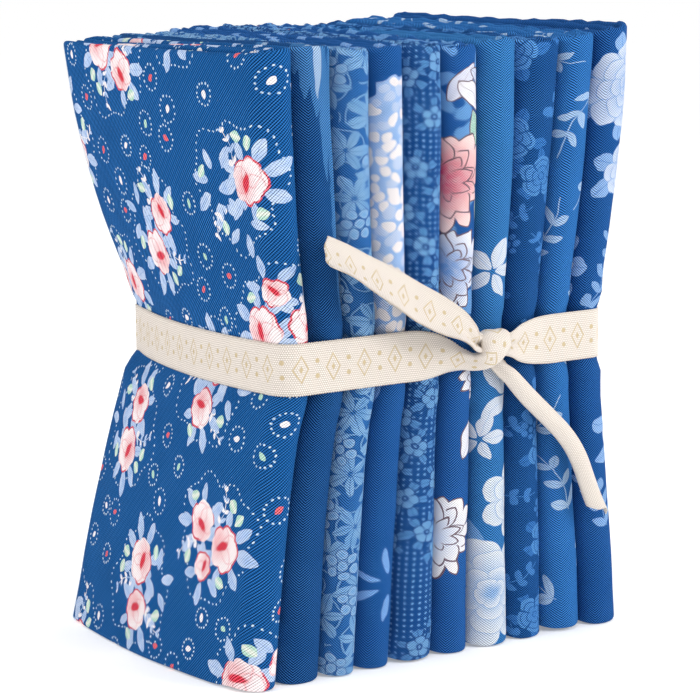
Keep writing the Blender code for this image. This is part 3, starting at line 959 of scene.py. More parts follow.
# %% [markdown]
# ## The motifs
#
# Every motif takes a place in millimetres from its own middle and gives masks from 0 to 1. A
# leaf is a swelling strip on its vein. A flower is a circle whose edge has a lobe for each
# petal. A fan repeats a leaf round a middle by folding the angle, and a ring repeats a dot.


# %% Groups: leaf, fan of leaves, flower, rose
def leaf_recipe(x, y, length, width):
    share = x / length
    swell = reckon("MAXIMUM", share * (1 - share) * 4, 0.0) ** 0.8 * width / 2
    body = inside(abs(y), swell) * chosen(share * (1 - share), 0.0)
    vein = inside(abs(y), 0.08, 0.12) * body
    return body, vein


LEAF = make_group(
    "leaf", {"X": 0, "Y": 0, "Length": 7, "Width": 3.4}, ("Leaf", "Vein"), leaf_recipe
)


def fan_recipe(x, y, count, reach, length, width):
    radius = length_of(x, y)
    angle = reckon("ARCTAN2", y, x)
    sector = FULL_TURN / count
    number = reckon("FLOOR", (angle + HALF_TURN) / sector)
    size = 0.78 + 0.30 * abs(sine(number * 2.4 + 0.7))
    folded = wrap(angle + HALF_TURN, 0.0, sector) - sector / 2 + sine(number * 5.1) * 0.12
    leaf_x, leaf_y = radius * cosine(folded) - reach, radius * sine(folded)
    tree = x.socket.id_data
    return use(tree, LEAF, X=leaf_x, Y=leaf_y, Length=length * size, Width=width * size)


FAN = make_group(
    "fan of leaves",
    {"X": 0, "Y": 0, "Count": 7, "Reach": 6, "Length": 7, "Width": 3.4},
    ("Leaf", "Vein"),
    fan_recipe,
)


def flower_recipe(x, y, radius, petals, lobes):
    away = length_of(x, y)
    angle = reckon("ARCTAN2", y, x)
    wave = abs(cosine(angle * petals / 2))
    edge = radius * (1 - lobes + lobes * wave**0.6)
    body = inside(away, edge)
    rim = inside(abs(away - edge), 0.16)
    between = inside(wave, 0.16, 0.16) * chosen(away, radius * 0.3) * body
    return body, rim, between, away / edge


FLOWER = make_group(
    "flower",
    {"X": 0, "Y": 0, "Radius": 4, "Petals": 5, "Lobes": 0.3},
    ("Flower", "Rim", "Between petals", "Share of radius"),
    flower_recipe,
)


def rose_recipe(x, y, radius, phase):
    away = length_of(x, y)
    angle = reckon("ARCTAN2", y, x) + phase
    lobes = 0.80 + 0.13 * abs(sine(angle * 2.5)) ** 0.5 + 0.07 * abs(sine(angle * 4 + 1.0))
    edge = radius * lobes
    body = inside(away, edge)
    broken = inside(0.2 - sine(angle * 1.5 + 0.4), 0.5, 0.5)
    rim = inside(abs(away - edge + 0.15), 0.30, 0.2) * broken
    turned_x, turned_y = turned(x, y, 0.7 + phase)
    heart_away = length_of((turned_x + radius * 0.10) * 0.85, (turned_y - radius * 0.16) * 1.9)
    heart = inside(heart_away, radius * 0.34, radius * 0.16)
    blush_away = length_of(turned_x + radius * 0.25, turned_y - radius * 0.30)
    blush = inside(blush_away, radius * 0.55, radius * 0.7)
    first = abs(length_of(turned_x - radius * 0.34, turned_y + radius * 0.10) - radius * 0.56)
    second = abs(length_of(turned_x + radius * 0.30, turned_y + radius * 0.34) - radius * 0.60)
    third = abs(length_of(turned_x + radius * 0.05, turned_y - radius * 0.55) - radius * 0.52)
    folds = inside(reckon("MINIMUM", reckon("MINIMUM", first, second), third), 0.20, 0.35)
    return body, rim, heart, blush, folds


ROSE = make_group(
    "rose",
    {"X": 0, "Y": 0, "Radius": 6, "Phase": 0},
    ("Rose", "Rim", "Heart", "Blush", "Folds"),
    rose_recipe,
)


# %% Groups: ring of dots, sprig, bunch of berries
def ring_recipe(x, y, radius, count, dot):
    away = length_of(x, y)
    sector = FULL_TURN / count
    folded = wrap(reckon("ARCTAN2", y, x), 0.0, sector) - sector / 2
    return (inside(length_of(away * cosine(folded) - radius, away * sine(folded)), dot / 2, 0.16),)


RING = make_group(
    "ring of dots",
    {"X": 0, "Y": 0, "Radius": 3.8, "Count": 14, "Dot": 0.7},
    ("Dots",),
    ring_recipe,
)


def sprig_recipe(x, y, length, pitch, leaf_length, leaf_width, bend):
    share = y / length
    side_x = x - bend * sine(share * HALF_TURN)
    stem = inside(abs(side_x), 0.16, 0.16) * inside(abs(share - 0.5), 0.5, 0.01)
    step = reckon("FLOOR", y / pitch)
    within = inside(abs((step + 0.5) * pitch / length - 0.5), 0.5, 0.01)
    up = wrap(y, 0.0, pitch) - pitch * 0.12
    leaf_x, leaf_y = turned(abs(side_x), up, 0.75)
    size = 1.05 - 0.35 * share
    length, width = leaf_length * size, leaf_width * size
    leaf, vein = use(x.socket.id_data, LEAF, X=leaf_x, Y=leaf_y, Length=length, Width=width)
    return either(stem, leaf * within), vein * within


SPRIG = make_group(
    "sprig",
    {"X": 0, "Y": 0, "Length": 24, "Pitch": 6, "Leaf length": 6, "Leaf width": 2.4, "Bend": 2},
    ("Sprig", "Vein"),
    sprig_recipe,
)


def berries_recipe(x, y, spread, size):
    away = length_of(x, y)
    sector = FULL_TURN / 6
    folded = wrap(reckon("ARCTAN2", y, x), 0.0, sector) - sector / 2
    outer = length_of(away * cosine(folded) - spread, away * sine(folded))
    nearest = reckon("MINIMUM", outer, away)
    return inside(nearest, size / 2), inside(abs(nearest - size / 2), 0.10, 0.14), nearest / size


BERRIES = make_group(
    "bunch of berries",
    {"X": 0, "Y": 0, "Spread": 3.2, "Size": 3},
    ("Berries", "Rim", "Share"),
    berries_recipe,
)

# %% [markdown]
# ## The weave
#
# Quilting cotton is a fine plain weave of about 25 threads to the centimetre. From a step away the
# threads run together into slanting lines, which change side near the middle of a big fold, 114
# mm from the outer raw edge of the flat cloth. The group gives a shade for the threads, one for
# the slanting lines and one for slow unevenness.


# %% Group: plain weave
def weave_recipe(x, y, fold, thread, slant_pitch):
    tree = x.socket.id_data
    drift_x, drift_y, cloud, other = use(tree, WOBBLE, X=x, Y=y, Amount=0.5, Length=14.0)
    over = sine(drift_x * (HALF_TURN / thread)) * sine(drift_y * (HALF_TURN / thread))
    slant = sine((drift_y - abs(drift_x - fold)) * (FULL_TURN / slant_pitch))
    slub = (cloud - 0.5) * 0.6 + (other - 0.5) * 0.4
    return over, slant * (0.75 + (other - 0.5)), slub


WEAVE = make_group(
    "plain weave",
    {"X": 0, "Y": 0, "Fold": 114, "Thread": 0.39, "Slant pitch": 0.78},
    ("Threads", "Slant", "Slub"),
    weave_recipe,
)


# %% Dyes, and laying one colour over another
def dye(red, green, blue):
    """A colour named by its screen values, as the shader wants it."""
    linear = []
    for part in (red / 255, green / 255, blue / 255):
        linear.append(part / 12.92 if part <= 0.04045 else ((part + 0.055) / 1.055) ** 2.4)
    return (*linear, 1.0)


# A Mix node has sockets of one name for each kind of value; these are the ones for colours
MIX_UNDER = 6
MIX_OVER = 7
MIX_RESULT = 2


def lay(under, mask, over):
    """The colour under, with the colour over laid on it where the mask is 1."""
    node = mask.socket.id_data.nodes.new("ShaderNodeMix")
    node.data_type = "RGBA"
    connect(mask, node.inputs["Factor"])
    connect(under, node.inputs[MIX_UNDER])
    connect(over, node.inputs[MIX_OVER])
    return Signal(node.outputs[MIX_RESULT])


def shaded(colour, tree, amount):
    """The colour made lighter or darker by a signal round 0."""
    node = tree.nodes.new("ShaderNodeVectorMath")
    node.operation = "SCALE"
    connect(colour, node.inputs[0])
    connect(1.0 + amount, node.inputs["Scale"])
    return Signal(node.outputs["Vector"])


def lightness(colour):
    """How light the colour is, from 0 for black to 1 for white."""
    node = colour.socket.id_data.nodes.new("ShaderNodeRGBToBW")
    connect(colour, node.inputs["Color"])
    return Signal(node.outputs["Val"])


def balanced(colour, tree, parts):
    """The colour with its red, green and blue each made stronger or weaker."""
    node = tree.nodes.new("ShaderNodeVectorMath")
    node.operation = "MULTIPLY"
    connect(colour, node.inputs[0])
    connect(parts, node.inputs[1])
    return Signal(node.outputs["Vector"])


WHITE = dye(248, 244, 246)
MINT = dye(186, 224, 204)

# %% [markdown]
# ## The ten prints
#
# All ten are blue cottons that go together. Each print below is a generic design of this script's
# own drawing. Its colours and the size of its flowers follow the bundle, and in prints 2, 4, 6, 7
# and 10 so do the heights of the largest light and dark areas. Each recipe takes a place on the
# cloth in millimetres and gives the colour there. The outer ply lies between 186 and 373 mm along
# the cloth, and the big fold's middle near 117 mm across.


# %% Print 1: pink roses with leaves inside dotted rounds
def rose_dots(x, y):
    tree = x.socket.id_data
    x, y, cloud, other = use(tree, WOBBLE, X=x, Y=y, Amount=1.1, Length=4.0)
    spray = {"Cell": 50, "Lean": 0.42, "Shift_X": 14, "Shift_Y": 22, "Jitter": 0.2}
    near_x, near_y, chance, second, _, _ = use(tree, SCATTER, X=x, Y=y, **spray)
    angle = reckon("ARCTAN2", near_y, near_x)
    round_radius = 18.6 + 1.9 * sine(angle * 3 + chance * 9) + 1.3 * sine(angle * 8)
    dots = use(tree, RING, X=near_x, Y=near_y, Radius=round_radius, Count=60)

    ring_x, ring_y, kind, size, middle_x, middle_y = use(
        tree, SCATTER, X=x, Y=y, Cell=13.0, Lean=1.15, Jitter=0.4
    )
    spray_x, spray_y, _, _, _, _ = use(tree, SCATTER, X=middle_x, Y=middle_y, **spray)
    free = chosen(length_of(spray_x, spray_y), 22.5)
    dots = either(dots, use(tree, RING, X=ring_x, Y=ring_y, Radius=3.0 + size * 1.1) * free)
    colour = lay(dye(17, 82, 145), dots, dye(206, 228, 246))
    seed, _ = use(tree, LEAF, X=ring_x + 1.4, Y=ring_y, Length=2.9, Width=1.8)
    seed_colour = lay(lay(WHITE, chosen(kind, 0.45), MINT), chosen(kind, 0.75), dye(232, 104, 108))
    colour = lay(colour, seed * free, seed_colour)

    leaf_colour = lay(dye(150, 182, 228), cloud, dye(214, 228, 248))
    fans = (
        (-6.0, 3.4, 8, 6.0, 8.6, 4.2),
        (7.0, -4.2, 7, 5.4, 8.0, 3.8),
        (4.6, 10.4, 5, 3.6, 7.0, 3.2),
    )
    for fan_x, fan_y, count, reach, length, width in fans:
        leaf = {"Count": count, "Reach": reach, "Length": length, "Width": width}
        leaves, veins = use(tree, FAN, X=near_x - fan_x, Y=near_y - fan_y, **leaf)
        colour = lay(colour, leaves, leaf_colour)
        colour = lay(colour, veins * 0.6, dye(118, 150, 212))
    for sprig_x, sprig_y, sprig_turn in ((-3.0, -4.0, 2.9), (9.0, 2.0, -1.2)):
        sprig_u, sprig_v = turned(near_x - sprig_x, near_y - sprig_y, sprig_turn)
        leaf = {"Length": 12, "Pitch": 3.4, "Leaf_length": 3.0, "Leaf_width": 1.5}
        sprig, _ = use(tree, SPRIG, X=sprig_u, Y=sprig_v, **leaf)
        colour = lay(colour, sprig, lay(leaf_colour, chosen(other, 0.5), WHITE))
    buds = (
        (-13.5, -5.0, 0.6),
        (-10.4, -9.4, 2.2),
        (14.0, 6.4, 1.2),
        (-4.0, 13.6, 2.6),
        (11.5, -12.0, 0.2),
    )
    for bud_x, bud_y, bud_turn in buds:
        bud_u, bud_v = turned(near_x - bud_x, near_y - bud_y, bud_turn)
        bud, _ = use(tree, LEAF, X=bud_u + 2.4, Y=bud_v, Length=4.8, Width=3.4)
        colour = lay(colour, bud, lay(MINT, inside(abs(bud_v), 0.6, 0.7), dye(232, 240, 226)))

    roses = (
        (5.4, 9.0, 4.6, 4.0, 0.35),
        (-6.0, 3.4, 7.4, 0.0, -1.0),
        (6.8, -4.6, 6.6, 2.1, 0.12),
    )
    for rose_x, rose_y, radius, phase, rarity in roses:
        here = {"X": near_x - rose_x, "Y": near_y - rose_y}
        body, rim, heart, blush, folds = use(
            tree, ROSE, **here, Radius=radius, Phase=phase + chance * 6
        )
        shown = chosen(second, rarity)
        petal = lay(dye(254, 243, 243), blush * (0.4 + cloud), dye(246, 184, 186))
        petal = lay(lay(petal, folds * 0.6, dye(240, 152, 156)), heart, dye(224, 56, 64))
        colour = lay(colour, body * shown, petal)
        colour = lay(colour, rim * shown, dye(222, 84, 92))
    return colour


# %% Print 2: long pale brush strokes on plain deep blue, and a painted highlight on the pressed ridge
def brush_strokes(x, y):
    tree = x.socket.id_data
    x, y, cloud, other = use(tree, WOBBLE, X=x, Y=y, Amount=0.9, Length=5.0)
    colour = lay(dye(10, 64, 128), cloud * 0.5, dye(16, 74, 142))
    near_x = wrap(x - 118.0, -57.0, 57.0)
    middle, pale = dye(56, 116, 182), dye(168, 198, 234)

    # Each stroke hangs from above the top edge: its place, its length, its width and its colour
    above_top = 381.0
    strokes = (
        (-7.2, 17.0, 4.0, middle),
        (-4.6, 24.0, 3.6, middle),
        (-1.8, 29.0, 3.8, middle),
        (0.2, 48.0, 2.6, middle),
        (-1.4, 24.0, 2.2, pale),
        (2.2, 88.0, 2.2, middle),
        # Not print: this thin pale stroke paints the highlight along the second cut's pressed
        # ridge
        (3.1, 84.0, 0.7, pale),
        (20.0, 52.0, 5.0, middle),
        (-24.0, 40.0, 5.0, middle),
        (-22.0, 26.0, 2.6, pale),
    )
    for place, length, width, tint in strokes:
        stroke, _ = use(
            tree, LEAF, X=above_top - y, Y=near_x - place, Length=length, Width=width
        )
        colour = lay(colour, stroke, lay(tint, other * 0.3, dye(92, 146, 206)))
    return colour


# %% Print 3: bunches of berries among leaves and curls
def berry_scroll(x, y):
    tree = x.socket.id_data
    x, y, cloud, other = use(tree, WOBBLE, X=x, Y=y, Amount=1.4, Length=5.0)
    leaf_x, leaf_y = use(tree, SCATTER, X=x, Y=y, Cell=12.5, Lean=0.9, Jitter=0.3)[:2]
    leaves, veins = use(tree, FAN, X=leaf_x, Y=leaf_y, Count=6, Reach=0.6, Length=7.4, Width=3.3)
    spiral = length_of(leaf_x, leaf_y) - reckon("ARCTAN2", leaf_y, leaf_x) * 0.7
    twirl = abs(wrap(spiral, 0.0, 4.4) - 2.2)
    colour = lay(dye(46, 104, 176), cloud * 0.6, dye(60, 120, 192))
    colour = lay(colour, inside(twirl, 0.26) * 0.8, dye(146, 186, 232))
    colour = lay(colour, inside(abs(twirl - 0.5), 0.16) * 0.7, dye(30, 82, 152))
    colour = lay(colour, leaves, lay(dye(112, 164, 222), other, dye(168, 202, 240)))
    colour = lay(colour, veins, dye(38, 92, 164))
    bunch_x, bunch_y, chance = use(tree, SCATTER, X=x, Y=y, Cell=15, Lean=2.0, Jitter=0.3)[:3]
    berries, rims, share = use(tree, BERRIES, X=bunch_x, Y=bunch_y, Spread=3.3, Size=3.0)
    colour = lay(colour, either(berries, rims) * chosen(chance, 0.2), dye(32, 84, 156))
    berry_colour = lay(dye(168, 200, 240), inside(share, 0.2, 0.4), dye(126, 174, 228))
    return lay(colour, berries * (1 - rims) * chosen(chance, 0.2), berry_colour)


# %% Print 4: one long head of pale petals over a low fan of leaves
def from_head(x, y):
    """The place measured from the middle of the nearest head."""
    return wrap(x - 121.0, -30.0, 30.0), wrap(y - 322.0, -130.0, 60.0)


def pale_clusters(x, y):
    tree = x.socket.id_data
    x, y, cloud, _ = use(tree, WOBBLE, X=x, Y=y, Amount=2.2, Length=6.0)
    head_x, head_y = from_head(x, y)
    petals = use(tree, SCATTER, X=x, Y=y, Cell=3.4, Jitter=0.8)
    petal_x, petal_y, tint, second, middle_x, middle_y = petals
    far_x, far_y = from_head(middle_x, middle_y)
    headed = inside(length_of(far_x, far_y * 0.46), 19.0, 0.5)
    leaf = {"Count": 9, "Reach": 19, "Length": 17, "Width": 5}
    leaves, veins = use(tree, FAN, X=head_x, Y=head_y * 0.5, **leaf)
    leaf = {"Count": 7, "Reach": 3, "Length": 11, "Width": 2.6}
    low_leaves, _ = use(tree, FAN, X=head_x + 2, Y=head_y + 112.0, **leaf)
    colour = lay(dye(22, 76, 144), either(leaves, low_leaves), dye(118, 162, 220))
    colour = lay(colour, veins, dye(190, 210, 242))
    away = length_of(petal_x, petal_y * 0.8)
    colour = lay(colour, headed, lay(dye(132, 170, 224), cloud, dye(168, 196, 236)))
    white = lay(dye(236, 231, 232), chosen(tint, 0.62) * 0.8, dye(176, 200, 236))
    return lay(colour, inside(away, 1.05 + second * 0.8, 0.3) * headed, white)


# %% Print 5: a grid of dots with small flowers
def dot_grid(x, y):
    tree = x.socket.id_data
    pitch = 1.75
    grid_x, grid_y = wrap(x, 0.0, pitch) - pitch / 2, wrap(y, 0.0, pitch) - pitch / 2
    dots = inside(length_of(grid_x, grid_y), 0.40, 0.16)
    colour = lay(dye(22, 72, 142), dots, dye(118, 168, 224))
    x, y, cloud, _ = use(tree, WOBBLE, X=x, Y=y, Amount=1.0, Length=4.0)
    near_x, near_y, chance = use(tree, SCATTER, X=x, Y=y, Cell=10.8, Lean=0.55, Jitter=0.35)[:3]
    shown = chosen(chance, 0.2)
    clear = inside(length_of(near_x, near_y), 5.6, 0.3) * shown
    leaves, veins = use(tree, FAN, X=near_x, Y=near_y, Count=6, Reach=2.6, Length=5.0, Width=2.5)
    wider, _ = use(tree, FAN, X=near_x, Y=near_y, Count=6, Reach=2.2, Length=5.9, Width=3.7)
    colour = lay(colour, wider * clear, dye(18, 62, 128))
    colour = lay(colour, leaves * clear, dye(98, 150, 212))
    colour = lay(colour, veins * clear, dye(24, 74, 144))
    body, rim, between, share = use(
        tree, FLOWER, X=near_x, Y=near_y, Radius=3.4, Petals=5, Lobes=0.26
    )
    colour = lay(colour, either(body, rim) * clear, dye(18, 62, 128))
    petal = lay(dye(112, 162, 220), cloud, dye(140, 184, 232))
    colour = lay(colour, body * (1 - rim) * (1 - between) * clear, petal)
    return lay(colour, inside(abs(share - 0.22), 0.09, 0.05) * body * clear, dye(20, 66, 134))


# %% Print 6: pink and pale blooms of pointed petals, outlined in brown
def mixed_blooms(x, y):
    tree = x.socket.id_data
    x, y, _, other = use(tree, WOBBLE, X=x, Y=y, Amount=2.4, Length=8.0)
    patch = inside(other, 0.47, 0.03) * chosen(y, 290.0)
    colour = lay(dye(26, 80, 150), patch, dye(104, 156, 214))
    wash = use(tree, WOBBLE, X=x, Y=y, Amount=1.0, Length=1.6)[2]
    near_x = wrap(x - 110.0, -34.0, 34.0)
    near_y = wrap(y - 334.0, -160.0, 60.0)
    line = dye(112, 84, 84)
    blooms = (
        (0.0, -2.0, 15.0, dye(250, 218, 214), dye(208, 58, 92)),
        (1.0, -29.0, 13.0, dye(232, 238, 248), dye(104, 152, 216)),
        (-14.0, 30.0, 9.0, dye(190, 212, 244), dye(86, 138, 206)),
        (16.0, -64.0, 10.0, dye(240, 240, 244), dye(150, 184, 230)),
        (0.0, -112.0, 13.0, dye(244, 244, 246), dye(206, 220, 242)),
    )
    leaves = (
        (2.0, 22.0, 0.9, dye(206, 216, 240)),
        (9.0, 30.0, -0.5, dye(196, 214, 244)),
        (14.0, 18.0, 2.3, dye(232, 236, 246)),
        (13.0, 6.0, 1.9, dye(138, 200, 172)),
        (12.0, -8.0, -1.2, dye(150, 204, 180)),
        (-12.0, -12.0, 2.4, dye(150, 204, 180)),
        (8.0, -88.0, 1.2, dye(224, 230, 244)),
    )
    for leaf_x, leaf_y, lean, tint in leaves:
        along, aside = turned(near_x - leaf_x, near_y - leaf_y, lean)
        outline, _ = use(tree, LEAF, X=along + 0.4, Y=aside, Length=13.6, Width=6.2)
        leaf, vein = use(tree, LEAF, X=along, Y=aside, Length=12.8, Width=5.4)
        colour = lay(lay(colour, outline, line), leaf, lay(tint, wash * 0.5, WHITE))
        colour = lay(colour, vein * 0.6, line)
    for bloom_x, bloom_y, radius, pale, deep in blooms:
        here_x, here_y = near_x - bloom_x, near_y - bloom_y
        share = length_of(here_x, here_y) / radius
        petal = lay(lay(pale, (0.95 - share) * 1.2, deep), (wash - 0.35) * 0.6, WHITE)
        for size, count, lean in ((1.0, 13, 0.0), (0.76, 11, 0.3), (0.52, 8, 0.7)):
            petal_x, petal_y = turned(here_x, here_y, lean)
            ring = {"X": petal_x, "Y": petal_y, "Count": count, "Reach": radius * size * 0.22}
            length, width = radius * size * 0.80, radius * size * 0.42
            edges, _ = use(tree, FAN, **ring, Length=length + 0.5, Width=width + 0.7)
            petals, _ = use(tree, FAN, **ring, Length=length, Width=width)
            colour = lay(colour, edges, line)
            colour = lay(colour, either(petals, inside(share, size * 0.5, 0.1)), petal)
    return colour


# %% Print 7: pale blooms wide apart on plain mid blue
def far_blooms(x, y):
    tree = x.socket.id_data
    x, y, cloud, _ = use(tree, WOBBLE, X=x, Y=y, Amount=2.0, Length=7.0)
    near_x = wrap(x - 117.0, -38.0, 38.0)
    near_y = wrap(y - 204.0, -70.0, 120.0)
    leaves, veins = use(tree, FAN, X=near_x, Y=near_y, Count=8, Reach=11, Length=13, Width=6.5)
    colour = lay(dye(44, 108, 180), cloud * 0.3, dye(52, 118, 190))
    colour = lay(colour, leaves * 0.8, dye(118, 164, 224))
    colour = lay(colour, veins * 0.6, dye(176, 204, 240))
    for bloom_x, bloom_y, size in ((7.0, 26.0, 13.0), (-3.0, -3.0, 18.0)):
        for part, petals, lean in ((1.0, 7, 0.0), (0.74, 6, 0.5), (0.48, 5, 1.0), (0.26, 4, 0.3)):
            petal_x, petal_y = turned(near_x - bloom_x, near_y - bloom_y, lean)
            body, rim, between, share = use(
                tree, FLOWER, X=petal_x, Y=petal_y, Radius=size * part, Petals=petals, Lobes=0.3
            )
            petal = lay(dye(222, 230, 247), (1 - share) * 1.4, dye(132, 172, 230))
            colour = lay(colour, body, lay(petal, cloud * 0.5, dye(200, 216, 243)))
            colour = lay(colour, either(rim, between * 0.6) * 0.45, dye(104, 152, 218))
    for bell_x, bell_y, size in ((-3.0, 98.0, 9.0), (4.0, 60.0, 11.0), (-6.0, 46.0, 8.0)):
        leaf = {"Count": 5, "Reach": 0.8, "Length": size, "Width": size / 2}
        bells, bell_veins = use(tree, FAN, X=near_x - bell_x, Y=near_y - bell_y, **leaf)
        colour = lay(lay(colour, bells, dye(206, 218, 244)), bell_veins * 0.6, dye(120, 164, 222))
    return colour


# %% Print 8: tonal flowers, berries and sprigs on deep blue
def dark_sprigs(x, y):
    tree = x.socket.id_data
    x, y, cloud, _ = use(tree, WOBBLE, X=x, Y=y, Amount=1.4, Length=5.0)
    near_x, near_y, chance = use(
        tree, SCATTER, X=x, Y=y, Cell=17.5, Lean=0.7, Jitter=0.3, Shift_X=5
    )[:3]
    tone, line = dye(84, 136, 206), dye(28, 82, 152)
    leaf = {"Length": 17, "Pitch": 4.2, "Leaf_length": 4.2, "Leaf_width": 2.6}
    sprig, _ = use(tree, SPRIG, X=near_x, Y=near_y + 9, **leaf)
    colour = lay(dye(19, 73, 138), cloud * 0.4, dye(24, 82, 150))
    colour = lay(colour, sprig * chosen(chance, 0.5), tone)
    leaves, veins = use(tree, FAN, X=near_x, Y=near_y, Count=5, Reach=4.4, Length=5.4, Width=3.4)
    flowered = 1 - chosen(chance, 0.5)
    colour = lay(colour, leaves * flowered, dye(66, 120, 192))
    colour = lay(colour, veins * flowered, line)
    body, _, between, share = use(
        tree, FLOWER, X=near_x, Y=near_y, Radius=6.2, Petals=5, Lobes=0.22
    )
    colour = lay(colour, body * flowered, lay(tone, share, dye(104, 154, 218)))
    lines = either(between, inside(abs(wrap(share * 3.1, 0.0, 1.0) - 0.5), 0.07, 0.1) * body)
    colour = lay(colour, lines * flowered, line)
    bunch_x, bunch_y, _, bunch_chance, _, _ = use(
        tree, SCATTER, X=x, Y=y, Cell=26, Lean=1.7, Jitter=0.3
    )
    berries, rims, _ = use(tree, BERRIES, X=bunch_x, Y=bunch_y, Spread=2.4, Size=2.1)
    colour = lay(colour, berries * chosen(bunch_chance, 0.4), tone)
    return lay(colour, rims * berries * chosen(bunch_chance, 0.4), line)


# %% Print 9: pale leaf sprigs on mid blue
def leaf_sprigs(x, y):
    tree = x.socket.id_data
    x, y, cloud, other = use(tree, WOBBLE, X=x, Y=y, Amount=1.6, Length=8.0)
    near_x, near_y = use(tree, SCATTER, X=x, Y=y, Cell=25, Lean=0.45, Jitter=0.3, Shift_Y=4)[:2]
    leaf = {"Length": 22, "Pitch": 6.5, "Leaf_length": 6.6, "Leaf_width": 2.8, "Bend": 3}
    sprig, vein = use(tree, SPRIG, X=near_x, Y=near_y + 11, **leaf)
    colour = lay(dye(46, 110, 182), cloud * 0.4, dye(56, 122, 194))
    colour = lay(colour, sprig, lay(dye(176, 200, 238), other, dye(206, 220, 246)))
    return lay(colour, vein * 0.6, dye(96, 148, 212))


# %% Print 10: large pale blooms on deep blue
def large_blooms(x, y):
    tree = x.socket.id_data
    x, y, cloud, _ = use(tree, WOBBLE, X=x, Y=y, Amount=2.6, Length=7.0)
    near_x = wrap(x - 117.0, -36.0, 36.0)
    near_y = wrap(y - 350.0, -140.0, 60.0)
    colour = lay(dye(20, 76, 144), cloud * 0.4, dye(26, 86, 158))
    stems = (
        (8.0, -34.0, 0.1),
        (-2.0, -64.0, -0.25),
        (-20.0, -10.0, 0.4),
        (2.0, -134.0, 0.5),
        (-22.0, -112.0, -0.3),
    )
    for stem_x, stem_y, lean in stems:
        stem_u, stem_v = turned(near_x - stem_x, near_y - stem_y, lean)
        leaf = {"Length": 24, "Pitch": 5, "Leaf_length": 6, "Leaf_width": 2.8, "Bend": 3}
        sprig, _ = use(tree, SPRIG, X=stem_u, Y=stem_v, **leaf)
        colour = lay(colour, sprig * 0.85, dye(150, 188, 236))
    blooms = ((4.0, 4.0, 13.0), (8.0, -22.0, 9.5), (-16.0, -50.0, 9.0), (14.0, -106.0, 11.0))
    for bloom_x, bloom_y, size in blooms:
        here_x, here_y = near_x - bloom_x, near_y - bloom_y
        leaf = {"Count": 7, "Reach": size * 0.75, "Length": size * 0.7, "Width": 5.6}
        leaves, veins = use(tree, FAN, X=here_x, Y=here_y, **leaf)
        colour = lay(colour, leaves, dye(150, 186, 234))
        colour = lay(colour, veins, dye(70, 124, 196))
        for part, petals, lean in ((1.0, 8, 0.0), (0.74, 7, 0.5), (0.48, 6, 1.1), (0.26, 5, 0.2)):
            petal_x, petal_y = turned(here_x, here_y, lean)
            body, rim, between, share = use(
                tree, FLOWER, X=petal_x, Y=petal_y, Radius=size * part, Petals=petals, Lobes=0.2
            )
            petal = lay(dye(214, 224, 244), (1 - share) * 1.3, dye(128, 170, 228))
            colour = lay(colour, body, lay(petal, cloud * 0.5, dye(232, 238, 250)))
            colour = lay(colour, either(rim, between * 0.7) * 0.6, dye(104, 152, 216))
    return colour


# %% [markdown]
# ## A cotton's material
#
# The print is dyed into a woven cloth, so the weave shades the colours, shows as a fine bump, and
# hardly shines. The light caught by the crests of the threads is a painted highlight in the
# colour. The reverse of a printed cotton is paler, and at a raw edge the ends of the threads
# show light.


# %% What every woven material starts and ends with
def new_cloth(name):
    """A material with its tree, the place on the flat cloth in mm and 1 on the reverse."""
    material = bpy.data.materials.new(name)
    material.use_nodes = True
    tree = material.node_tree
    cloth = tree.nodes.new("ShaderNodeUVMap")
    cloth.uv_map = "cloth"
    metres_x, metres_y = apart(Signal(cloth.outputs["UV"]))
    side = tree.nodes.new("ShaderNodeAttribute")
    side.attribute_name = "reverse_side"
    return material, tree, metres_x * 1000, metres_y * 1000, Signal(side.outputs["Fac"])


def finish_cloth(tree, colour, shine, height, bump_strength, bump_height):
    """Give the shader its colour, a dry surface and the bump of the weave."""
    shader = tree.nodes["Principled BSDF"]
    connect(colour, shader.inputs["Base Color"])
    connect(0.9, shader.inputs["Roughness"])
    connect(shine, shader.inputs["Specular IOR Level"])
    bump = tree.nodes.new("ShaderNodeBump")
    connect(bump_strength, bump.inputs["Strength"])
    connect(bump_height, bump.inputs["Distance"])
    connect(height, bump.inputs["Height"])
    connect(Signal(bump.outputs["Normal"]), shader.inputs["Normal"])


# %% From a print to a material
RAW_EDGE = 0.45
RAW_EDGE_SOFT = 0.3


def make_cotton(name, recipe, strength, fold, slant_pitch):
    """A cotton with this print and this strength of red, green and blue. The slanting lines of
    the weave turn at the fold, and lie a pitch apart."""
    material, tree, x, y, reverse = new_cloth(name)
    colour = recipe(x, y)
    threads, slant, slub = use(tree, WEAVE, X=x, Y=y, Fold=fold, Slant_pitch=slant_pitch)
    relief = threads * 0.8 + slant
    grain = relief * (1.0 - 0.75 * lightness(colour))
    colour = shaded(colour, tree, reckon("MAXIMUM", grain * 0.90 + slub * 0.20 - 0.12, -0.95))
    colour = balanced(colour, tree, strength)
    # Painted highlight: a light blue laid on the crests of the weave stands in for the light the
    # threads catch
    colour = lay(colour, reckon("MAXIMUM", grain * 0.20, 0.0), dye(96, 160, 222))
    edge = 0.0
    for away in (x, CUT_WIDTH * 1000 - x, y, CUT_LENGTH * 1000 - y):
        edge = either(inside(away, RAW_EDGE, RAW_EDGE_SOFT), edge)
    colour = lay(colour, edge * 0.75, dye(205, 220, 240))
    colour = lay(colour, reverse * 0.55, dye(196, 210, 234))
    finish_cloth(tree, colour, 0.04, relief, 0.5, 0.0001)
    print("Cotton", name, "has", len(tree.nodes), "nodes")
    return material


PRINTS = (
    (rose_dots, (0.94, 0.92, 0.92)),
    (brush_strokes, (0.90, 0.84, 0.78)),
    (berry_scroll, (0.66, 0.74, 0.74)),
    (pale_clusters, (0.98, 0.96, 0.94)),
    (dot_grid, (0.70, 0.76, 0.75)),
    (mixed_blooms, (0.98, 0.94, 0.92)),
    (far_blooms, (1.00, 0.95, 0.83)),
    (dark_sprigs, (0.56, 0.74, 0.77)),
    (leaf_sprigs, (0.68, 0.78, 0.80)),
    (large_blooms, (0.80, 0.82, 0.84)),
)
